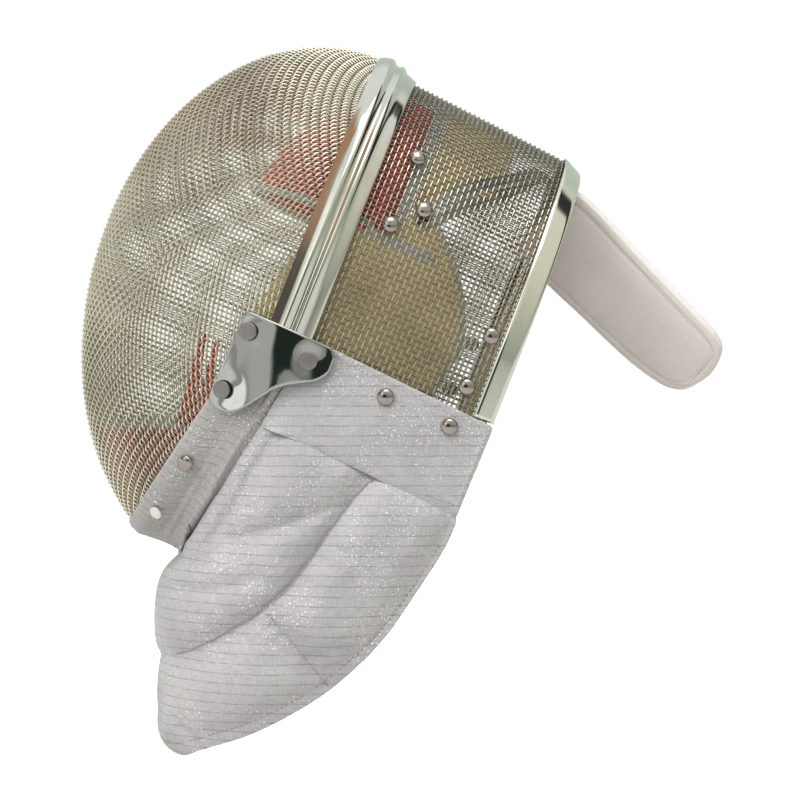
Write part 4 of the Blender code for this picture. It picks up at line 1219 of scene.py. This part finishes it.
def make_apron():
    """The quilted curtain round the throat, which billows between its seams. Its hem is turned and
    stitched."""
    top, low = apron_line(apron_top, APRON_REACH, 113), apron_line(apron_low, APRON_REACH, 113)
    outline = [(-s, z) for s, z in reversed(top[1:])] + top + low[::-1] + [(-s, z) for s, z in low[1:]]
    bm, flat = flat_cut(outline, 2.3, insets=(0.8, 1.2))
    mirrored = np.c_[np.abs(flat[:, 0]), flat[:, 1]]
    from_middle = smooth_share(mirrored[:, 0], 15.0, 75.0)
    seams = [(*row, seam_run(run)) for *row, run in APRON_SEAMS]
    sunk, held = np.zeros(len(flat)), np.zeros(len(flat), bool)
    for depth, reach, _, run in seams:
        away = distances(mirrored, run)
        near = np.clip(1 - away / reach, 0, 1)
        sunk = np.maximum(sunk, depth * near**1.7 * (0.5 + 0.5 * from_middle))
        held |= away < 1.3
    hem = distances(mirrored, apron_line(hem_z, APRON_REACH - 2, 90))
    sunk = np.maximum(sunk, 0.9 * np.clip(1 - hem / 3.2, 0, 1) ** 1.5)
    held |= (distances(flat, outline + outline[:1]) < 3.2) | (hem < 1.2)
    rise = smooth_share(distances(mirrored, low + top[-1:]), 0.0, 14.0)
    bump = np.array([0.9 * waves(x, y, 26.0, 1.7) + 0.35 * waves(x, y, 9.0, 4.2) for x, y in flat])
    from_top = distances(mirrored, apron_line(apron_top, APRON_REACH - 2, 60))
    tuck = 2.4 * (1 - smooth_share(from_top, 1.0, 4.4))
    proud = np.maximum(0.3 + 0.7 * from_middle, 1 - smooth_share(from_top, 4.0, 16.0))
    height = rise * (APRON_PROUD * proud + bump) - sunk * (0.35 + 0.65 * rise) - tuck
    places = []
    for (s, z), high in zip(flat, height):
        point = apron_point(s, z)
        ahead = -90.0 * (1 - smooth_share(point.y, -125.0, -60.0))
        places.append(point + Vector((point.x, ahead, 0.0)).normalized() * high)
    move_to(bm, places, (0, -1, 0))
    piece = finish_piece("throat_apron", bm, "silver_lame", ["bib_apron"], ROW_FROM_UPRIGHT)
    billow(piece, held, slack=0.03, pressure=600.0, cap=1.0 + 2.8 * from_middle)
    tree = surface_tree(piece)
    stuff(piece, 6.0, 7.0, 0.3)

    def placed(run, lift=0.3):
        rows = [[apron_point(sign * s, z) for s, z in run] for _, sign in SIDES]
        return [evened(on_surface(tree, row, ROW_FROM_UPRIGHT, lift)) for row in rows]

    stitched, creased = placed(apron_line(hem_z, APRON_REACH - 8, 90)), []
    for _, _, kind, run in seams:
        stitched += placed(run) if kind == "sewn" else []
        creased += placed(run, 0.1) if kind != "fold" else []
    stitch_row("apron_stitches", stitched, pitch=3.2, length=2.0, radius=0.33, matrix=ROW_FROM_UPRIGHT)
    wire_piece("apron_seam_lines", creased, 0.22, "grey_thread", matrix=ROW_FROM_UPRIGHT, sides=0)


def make_yoke(side, sign):
    upright = [tipped(y, z) for y, z in rounded_outline(YOKE_OUTLINE, 2.5, 3)]
    bm, flat = flat_cut(upright, 2.6, insets=(0.7, 1.0, 1.6))
    edge = distances(flat, upright + upright[:1])
    low_edge = distances(flat, [tipped(y, z) for y, z in YOKE_OUTLINE[-4:]])
    hem = np.exp(-((edge - 1.9) / 1.1) ** 2) * 0.35 - np.exp(-((edge - 3.9) / 0.7) ** 2) * 0.45
    hem -= 1.5 * (1 - smooth_share(low_edge, 0.5, 5.0))
    places = []
    ahead, down = YOKE_CREASE_WAY
    for (y, z), near, fold in zip(flat, edge, hem):
        mask_y, mask_z = tipped_back(y, z)
        puff = smooth_share(near, 2.0, 22.0)
        long, wide = y * ahead - z * down, y * down + z * ahead
        creases = 1.1 * waves(long * 0.45, wide, 12.0, 2.2 * sign) + 0.4 * waves(long, wide * 2.2, 14.0, 7.3)
        behind = smooth_share(mask_y - (-61.0 + 0.19 * (mask_z + 5.0)), 0.0, 16.0)
        over_wire = smooth_share(mask_z, -13.0, -7.0)
        flush = throat_half_width(y, z) + 1.3
        full = side_half_width(mask_y) + YOKE_STANDS_OFF
        out = flush + (full - flush) * max(behind, over_wire) + fold + puff * creases + 0.5 * puff
        places.append(Vector((sign * out, mask_y, mask_z)))
    move_to(bm, places, (sign, 0, 0))
    piece = finish_piece(f"yoke_cloth_{side}", bm, "silver_lame", [f"yoke_{side}"])
    tree = surface_tree(piece)
    stuff(piece, 2.2, 2.0, 0.4)
    top_z = SIDE_EDGE["z"] - YOKE_STITCHES_BELOW_TOP
    rows = [even_steps([(48.4, 1.6), (47.6, -43.0), (26.0, -44.0)], 1.0),
            [(y, top_z + SIDE_EDGE["slope"] * (y - SIDE_EDGE["y"])) for y in np.arange(-44.0, 46.0, 1.0)]]
    rows = [[Vector((sign * (side_half_width(y) + 5.0), y, z)) for y, z in row] for row in rows]
    stitch_row(f"yoke_stitches_{side}", [on_surface(tree, row, ROW_FROM_MASK, 0.05) for row in rows])


# ---------------------------------------------------------------- the lining

CROWN_PAD = dict(y=-50.0, z=60.0, width=84.5, depth=75.0, rise=103.0, back_y=-42.4, low_z=83.0, wall=8.4)
REAR_PAD = dict(front_y=-33.6, back_y=9.0, inset=6.6, front_turn=36.0, back_turn=54.0)
BINDING = dict(front_y=-41.8, back_y=-34.2, inset=7.0, front_turn=24.0, back_turn=24.0)
EAR_PAD_ROWS = [
    # z, front y, back y
    (-6.0, -92.0, 11.0), (6.0, -95.0, 12.0), (18.0, -94.5, 14.0), (40.0, -89.0, 17.0), (60.0, -83.0, 10.0),
    (68.0, -80.0, 5.5), (76.0, -68.0, 0.0), (82.0, -42.0, -5.0), (88.0, -36.0, -11.0), (95.0, -34.0, -17.5),
    (101.0, -32.0, -25.0),
]
EAR_PAD_INSET = 4.0
EAR_PAD_EDGE = 9.0
EAR_TAB = dict(front_y=-54.0, back_y=-12.6, front_z=78.4, back_z=76.2, height=5.6, inset=3.6)
CHIN_PAD = dict(top_z=-17.0, inset=3.2, wall=6.4)
CHIN_TAPE = dict(width=9.5, below=2.0)
CHIN_FLAP = dict(z=-13.0, height=49.5, y=-120.6, lean=11.0, width=9.4, narrows=7.2, inset=4.4)


def flat_from_side(co):
    """The flat place of a place of a curved sheet, seen from its side, with its shape followed round."""
    return (co.y + abs(co.x)) * MM, (co.z + abs(co.x) * 0.4) * MM


def soft_hills(bm, height, size, seed):
    """Pushes a sheet in and out a little along its normals."""
    push(bm, [height * waves(vert.co.y, vert.co.z + vert.co.x, size, seed) for vert in bm.verts])


def make_crown_pad():
    """A cap over the forehead, with a straight stretch back under the hoop and a bound lower edge."""
    pad = CROWN_PAD
    bm = bmesh.new()
    bmesh.ops.create_uvsphere(bm, u_segments=72, v_segments=48, radius=1.0)
    bmesh.ops.scale(bm, vec=(pad["width"], pad["depth"], pad["rise"]), verts=bm.verts)
    bmesh.ops.translate(bm, vec=(0, pad["y"], pad["z"]), verts=bm.verts)
    cut_away(bm, (0, pad["y"], 0), (0, 1, 0))
    cut_away(bm, (0, 0, pad["low_z"]), (0, 0, -1))
    rear = [edge for edge in bm.edges if all(abs(v.co.y - pad["y"]) < 0.01 for v in edge.verts)]
    made = bmesh.ops.extrude_edge_only(bm, edges=rear)["geom"]
    for vert in (part for part in made if isinstance(part, bmesh.types.BMVert)):
        vert.co.y = pad["back_y"]
    bmesh.ops.recalc_face_normals(bm, faces=bm.faces)
    face_towards(bm, (0, 0, 1))
    soft_hills(bm, 1.0, 14.0, 3.3)
    lay_flat(bm, flat_from_side)
    piece = finish_piece("forehead_pad", bm, "red_lining", ["crown_pad"])
    stuff(piece, pad["wall"], 8.0, 0.35, smooth=False)
    around = sqrt(1 - ((pad["low_z"] - pad["z"]) / pad["rise"]) ** 2)
    width, depth = around * pad["width"], around * pad["depth"]
    rim = [(width * cos(turn), pad["y"] - depth * sin(turn), pad["low_z"] - 0.4)
           for turn in np.linspace(0, pi, 60)]
    wire_piece("forehead_binding", [rim], 2.4, "grey_tape", sides=3)


def strip_under_crown(name, row, material, node, grid):
    """A sheet that follows the crown from side to side. Its turns are where its ends are, in degrees."""
    def place(u, v):
        y = row["front_y"] + v * (row["back_y"] - row["front_y"])
        start = radians(row["front_turn"])
        start += v * (radians(row["back_turn"]) - start)
        return crown_point(y, start + (pi - 2 * start) * u, -row["inset"])

    flat = (0.22, (row["back_y"] - row["front_y"]) * MM)
    bm = face_towards(shaped_grid(*grid, place, flat), (0, 0, 1))
    soft_hills(bm, 0.5, 12.0, 6.1)
    return finish_piece(name, bm, material, [node])


def make_rear_pad():
    piece = strip_under_crown("crown_pad_rear", REAR_PAD, "khaki_lining", "rear_pad", (90, 24))
    stuff(piece, 7.5, 7.0, 0.3)
    tape = strip_under_crown("pad_tape", BINDING, "grey_tape", "pad_binding", (120, 6))
    stuff(tape, 2.2, 1.5, 0.5)


def make_ear_pad(side, sign):
    rows = EAR_PAD_ROWS

    def place(u, v):
        z = rows[0][0] + v * (rows[-1][0] - rows[0][0])
        front, back = curve_value(rows, z, 1), curve_value(rows, z, 2)
        y = front + u * (back - front)
        return Vector((sign * (wall_half_width(y, z) - EAR_PAD_INSET), y, z))

    bm = face_towards(shaped_grid(54, 42, place, (0.105, 0.08)), (sign, 0, 0))
    heights = []
    for vert, reach in zip(bm.verts, from_rim(bm)):
        share = min(reach / EAR_PAD_EDGE, 1.0)
        dip = (1 - sqrt(1 - (1 - share) ** 2)) * 3.0
        heights.append(0.8 * waves(vert.co.y, vert.co.z, 15.0, 2.9 * sign) - dip)
    push(bm, heights)
    piece = finish_piece(f"temple_pad_{side}", bm, "khaki_lining", [f"ear_pad_{side}"])
    stuff(piece, 7.4, 8.0, 0.2)
    edge = [place(1.0, v) for v in np.linspace(0, 1, 30)] + [place(u, 1.0) for u in np.linspace(1, 0, 30)]
    edge = [point - Vector((sign * 3.6, 0.0, 0.0)) for point in edge]
    wire_piece(f"temple_binding_{side}", [edge], 1.8, "grey_tape", sides=3)


def make_ear_tab(side, sign):
    """The grey webbing tab above the ear pad."""
    tab = EAR_TAB

    def place(u, v):
        y = tab["front_y"] + u * (tab["back_y"] - tab["front_y"])
        z = tab["front_z"] + u * (tab["back_z"] - tab["front_z"]) + tab["height"] * (v - 0.5)
        return Vector((sign * (side_half_width_at(y, z) - tab["inset"]), y, z))

    bm = face_towards(shaped_grid(40, 8, place, (0.042, 0.0056)), (sign, 0, 0))
    stuff(finish_piece(f"temple_tab_{side}", bm, "grey_tape", [f"ear_tab_{side}"]), 1.6, 1.0, 0.6)


def dome_sheet(rounds, rings):
    """The dome's outer face, still whole."""
    bm = bmesh.new()
    bmesh.ops.create_uvsphere(bm, u_segments=rounds, v_segments=rings, radius=1.0)
    bmesh.ops.rotate(bm, verts=bm.verts, matrix=Matrix.Rotation(pi / 2, 3, "X"))
    cut_away(bm, (0, 0, 0), (0, 1, 0))
    for vert in bm.verts:
        across, depth, up = vert.co
        z = WIDEST_Z + up * dome_rise(WIDEST_Z + up)
        vert.co = (across * HALF_WIDTH, DOME_TIP_Y + dome_depth(z) * (1 + depth), z)
    return bm


def make_chin_pad():
    """The lining that fills the chin of the wire, cut level at its top and bound there."""
    bm = dome_sheet(rounds=110, rings=70)
    level = Vector((0.0, -sin(TILT), cos(TILT)))
    cut_away(bm, (0, CHIN_LINE["y"] + 4.0, CHIN_LINE["z"]), Vector((0.0, 1.0, -CHIN_LINE["slope"])))
    cut_away(bm, level * CHIN_PAD["top_z"], level)
    bmesh.ops.recalc_face_normals(bm, faces=bm.faces)
    face_towards(bm, (0, -1, 0))
    push(bm, [-CHIN_PAD["inset"]] * len(bm.verts))
    soft_hills(bm, 0.7, 15.0, 8.8)
    lay_flat(bm, flat_from_side)
    loops = [edge for edge in bm.edges if edge.is_boundary
             and all(abs(v.co.dot(level) - CHIN_PAD["top_z"]) < 5.0 for v in edge.verts)]
    rim = {tuple(v.co) for edge in loops for v in edge.verts}
    rim = sorted(rim, key=lambda p: atan2(p[0], -(p[1] + 60.0)))
    piece = finish_piece("chin_lining", bm, "red_lining", ["chin_pad"])
    stuff(piece, CHIN_PAD["wall"], 7.0, 0.35, smooth=False)
    run = evened([(x * 0.975, y + 1.6, z) for x, y, z in rim])
    along = lengths_along(run)

    def place(u, v):
        spot = Vector([float(np.interp(u * along[-1], along, axis)) for axis in run.T])
        return spot + level * (CHIN_TAPE["width"] * v - CHIN_TAPE["below"])

    flat = (along[-1] * MM, CHIN_TAPE["width"] * MM)
    tape = face_towards(shaped_grid(120, 4, place, flat), (0, -1, 0))
    add_wall(finish_piece("chin_binding", tape, "grey_tape"), 1.4)


def make_chin_flap(side, sign):
    """The red flap that stands up inside the wire from the chin lining's top."""
    flap = CHIN_FLAP

    def place(u, v):
        z = flap["z"] + flap["height"] * v
        y = flap["y"] + flap["lean"] * v + (u - 0.5) * (flap["width"] - flap["narrows"] * v)
        return Vector((sign * (upright_dome_half_width(y, z) - flap["inset"]), y, z))

    bm = face_towards(shaped_grid(8, 26, place, (0.009, 0.04)), (sign, 0, 0))
    add_wall(finish_piece(f"chin_flap_{side}", bm, "red_lining", matrix=ROW_FROM_UPRIGHT), 2.2)


# ---------------------------------------------------------------- the tongue

TONGUE_START = (95.9, 93.0)
TONGUE_DROP = radians(39.0)
TONGUE_TURN = radians(33.0)
TONGUE_WALL = 10.0
TONGUE_SEAM = 5.2
TONGUE_OUTLINE = [
    # along, upper edge, lower edge
    (-19.0, 20.0, -18.0), (-13.0, 23.6, -21.6), (0.0, 24.0, -23.4), (38.0, 19.5, -26.0), (74.0, 15.6, -28.4),
    (96.0, 13.2, -27.4), (104.0, 11.4, -25.2), (110.5, 7.6, -20.4), (114.0, 1.4, -12.0), (115.2, -3.4, -7.6),
]


def make_tongue():
    """A padded strip whose face is turned about its length: a bound edge, a sewn line inside it, and a soft
    middle."""
    along = Vector((0.0, cos(TONGUE_DROP), -sin(TONGUE_DROP)))
    up_edge = Vector((0.0, sin(TONGUE_DROP), cos(TONGUE_DROP)))
    width_way = Vector((sin(TONGUE_TURN), 0, 0)) + up_edge * cos(TONGUE_TURN)
    face_way = Vector((cos(TONGUE_TURN), 0, 0)) - up_edge * sin(TONGUE_TURN)
    start = Vector((0.0, *TONGUE_START))
    first, last = TONGUE_OUTLINE[0][0], TONGUE_OUTLINE[-1][0]
    stations, ring = 120, 72

    def edge(distance, column):
        """The upper or lower edge, wider than in the side view, where it is seen turned."""
        return curve_value(TONGUE_OUTLINE, distance, column) / cos(TONGUE_TURN)

    outline = [(d, edge(d, 1)) for d in np.linspace(first, last, 90)]
    outline += [(d, edge(d, 2)) for d in np.linspace(last, first, 90)]
    outline.append(outline[0])
    spots = [first + (last - first) * sin(pi / 2 * (0.12 + 0.88 * i / stations)) for i in range(stations + 1)]
    spots = [first + (spot - spots[0]) * (last - first) / (spots[-1] - spots[0]) for spot in spots]

    def squared(value):
        """A sine or cosine bent towards the corners of a square."""
        return abs(value) ** 0.4 * (1 if value >= 0 else -1)

    def place(u, v):
        distance = spots[round(u * stations)]
        upper, lower = edge(distance, 1), edge(distance, 2)
        turn = 2 * pi * v
        w = (upper + lower) / 2 + (upper - lower) / 2 * squared(cos(turn))
        near = float(distances([(distance, w)], outline)[0])
        round_end = sqrt(max(1 - (1 - min((last - distance) / 4.0, 1.0)) ** 2, 0.0))
        tapered = 0.5 + 0.5 * smooth_share(distance, -21.0, -6.0)
        half = TONGUE_WALL / 2 * (0.3 + 0.7 * round_end) * tapered
        f = half * squared(sin(turn))
        if abs(sin(turn)) > 0.25:
            puff = 0.9 * smooth_share(near, TONGUE_SEAM, 16.0) + 0.25 * waves(distance, w, 13.0, 4.4)
            puff = (puff - 0.9 * np.exp(-((near - TONGUE_SEAM) / 0.9) ** 2)) * min(half / 3.0, 1.0)
            f += puff if sin(turn) >= 0 else -puff
        return start + along * distance + width_way * w + face_way * f

    bm = shaped_grid(stations, ring, place, lambda u, v: (spots[round(u * stations)] * MM, v * 0.12))
    close_ends(bm, 0.02)
    piece = finish_piece("nape_tongue", bm, "tongue_face", ["tongue"], ROW_FROM_UPRIGHT)
    # The faces along the upper and lower edges take the lighter copy of the leatherette: painted light.
    piece.data.materials.append(MATERIALS["tongue_edge"])
    up = (ROW_FROM_UPRIGHT.to_3x3() @ width_way).normalized()
    for face in piece.data.polygons:
        if abs(face.normal.dot(up)) > 0.75:
            face.material_index = 1
    add_smoothing(piece)
    ends = (first + 4.0, last - 5.6)
    line = [(d, edge(d, 1) - TONGUE_SEAM) for d in np.arange(*ends, 1.0)]
    line += [(d, edge(d, 2) + TONGUE_SEAM) for d in np.arange(*ends[::-1], -1.0)]
    places = [start + along * d + width_way * w + face_way * (TONGUE_WALL / 2) for d, w in line]
    seam = on_surface(surface_tree(piece), places, ROW_FROM_UPRIGHT, 0.05)
    stitch_row("tongue_stitches", [seam], "pale_thread", matrix=ROW_FROM_UPRIGHT)


# ---------------------------------------------------------------- stage

FLOOR_Z = -0.376
LAMP_AIM = (0.0, 0.0, -0.16)
LAMPS = [
    # name, place, size, power
    ("overhead", (0.75, 0.15, 1.6), (1.2, 1.2), 10.0),
    ("top_soft", (0.7, -0.5, 1.5), (2.0, 1.4), 11.0),
    ("front_soft", (1.2, -1.4, 0.95), (1.4, 1.4), 22.0),
    ("rear_soft", (-0.6, 1.5, 0.9), (1.0, 1.2), 6.0),
]
SEEN_LAMP = "overhead"
LENS = 108.67
CAMERA_REACH = 1.4
CAMERA_SHIFT_Y = -0.0406


def make_floor():
    """White paper under the mask, which looks evenly lit."""
    bm = bmesh.new()
    bmesh.ops.create_grid(bm, x_segments=1, y_segments=1, size=6.0)
    bmesh.ops.translate(bm, vec=(0, 0, FLOOR_Z), verts=bm.verts)
    mesh = bpy.data.meshes.new("floor")
    bm.to_mesh(mesh)
    bm.free()
    floor = add_object("floor", mesh)
    graph, shader = new_material("floor_paper", 0.9)
    fibre = graph.noise(object_place(graph), 60.0, 3.0)
    seen = graph.value("ShaderNodeLightPath", output="Is Camera Ray")
    graph.give(shader, base_color=graph.mix(fibre, rgb(204, 203, 201), rgb(210, 209, 207)),
               emission_color=WHITE, emission_strength=seen * 0.8)
    mesh.materials.append(MATERIALS["floor_paper"])


def make_room():
    """White behind the mask, and round it the room that its polished parts reflect."""
    world = bpy.data.worlds.new("studio")
    bpy.context.scene.world = world
    world.use_nodes = True
    graph = Graph(world.node_tree)
    x, y, height = graph.parts(graph.value("ShaderNodeTexCoord", output="Generated"))
    turn = graph.math("ARCTAN2", y, x)

    def belt(low, high, soft):
        """The part of the room between two bearings in degrees, with soft ends."""
        start = graph.step(turn, radians(low - soft), radians(low + soft))
        return start * graph.step(turn, radians(high - soft), radians(high + soft), 1.0, 0.0)

    def below(low, high):
        return graph.step(height, low, high, 1.0, 0.0)

    room = graph.mix(graph.ramp(height, 0.0, 0.5), rgb(164, 168, 156), rgb(226, 222, 208))
    window = graph.mix(graph.step(height, 0.16, 0.36), rgb(222, 220, 215), (1.3, 1.3, 1.28, 1.0))
    door = graph.mix(graph.step(height, 0.10, 0.20), (1.6, 1.6, 1.55, 1.0), rgb(92, 84, 78))
    for share, colour in (
        (belt(-49, -17, 5), window),
        (belt(-130, -80, 8), (1.3, 1.28, 1.2, 1.0)),
        (belt(-76, -53, 3), door),
        (graph.math("MAXIMUM", belt(124, 190, 6), belt(-190, -112, 8)), rgb(200, 210, 202)),
        (belt(-19, 7, 4) * below(0.22, 0.36), rgb(46, 58, 50)),
        (graph.step(height, 0.60, 0.86), rgb(246, 248, 250)),
        (belt(91, 113, 3) * below(0.76, 0.86), rgb(50, 52, 54)),
        (belt(-104, -54, 4) * graph.step(height, 0.44, 0.62) * below(0.92, 0.97), rgb(186, 142, 116)),
    ):
        room = graph.mix(share, room, colour)
    graph.give(world.node_tree.nodes["Background"], color=room, strength=1.0)
    lit = Value(graph, world.node_tree.nodes["Background"].outputs[0])
    seen = graph.value("ShaderNodeLightPath", output="Is Camera Ray")
    shown = graph.value("ShaderNodeMixShader", seen, lit, graph.value("ShaderNodeBackground", WHITE, 1.0))
    graph.give(world.node_tree.nodes["World Output"], surface=shown)


def make_lamp(name, place, size, power):
    lamp = bpy.data.lights.new(name, "AREA")
    lamp.shape = "RECTANGLE"
    lamp.size, lamp.size_y = size
    lamp.energy = power
    item = add_object(name, lamp)
    item.location = place
    item.visible_glossy = name == SEEN_LAMP
    item.rotation_euler = (Vector(LAMP_AIM) - Vector(place)).to_track_quat("-Z", "Y").to_euler()


def make_camera():
    lens_data = bpy.data.cameras.new("camera")
    lens_data.sensor_width = 36.0
    lens_data.lens = LENS
    camera = add_object("camera", lens_data)
    aim = Vector((0.0, -SEAT_Y * MM, -SEAT_Z * MM))
    camera.location = aim + Vector((CAMERA_REACH, CAMERA_SHIFT_Y, 0.0))
    camera.rotation_euler = (aim - camera.location).to_track_quat("-Z", "Y").to_euler()
    bpy.context.scene.camera = camera


bpy.context.scene.view_settings.view_transform = "Standard"
make_camera()
make_floor()
make_room()
for lamp_row in LAMPS:
    make_lamp(*lamp_row)
make_face_wire()
make_side_wire()
arch_strip("hoop_pressing", HOOP_SECTION, HOOP_FOOT_Z, (150, 2 * (len(HOOP_SECTION) - 1)), 0.8,
           "hoop_chrome", "hoop")
make_rear_rim()
for side, sign in SIDES:
    make_bracket(side, sign)
make_all_rivets()
make_band()
make_apron()
make_crown_pad()
make_rear_pad()
make_chin_pad()
for side, sign in SIDES:
    make_chin_flap(side, sign)
make_tongue()
for side, sign in SIDES:
    make_yoke(side, sign)
    make_ear_pad(side, sign)
    make_ear_tab(side, sign)
spring_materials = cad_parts["tongue_spring"].data.materials
spring_materials.clear()
spring_materials.append(MATERIALS["spring_steel"])
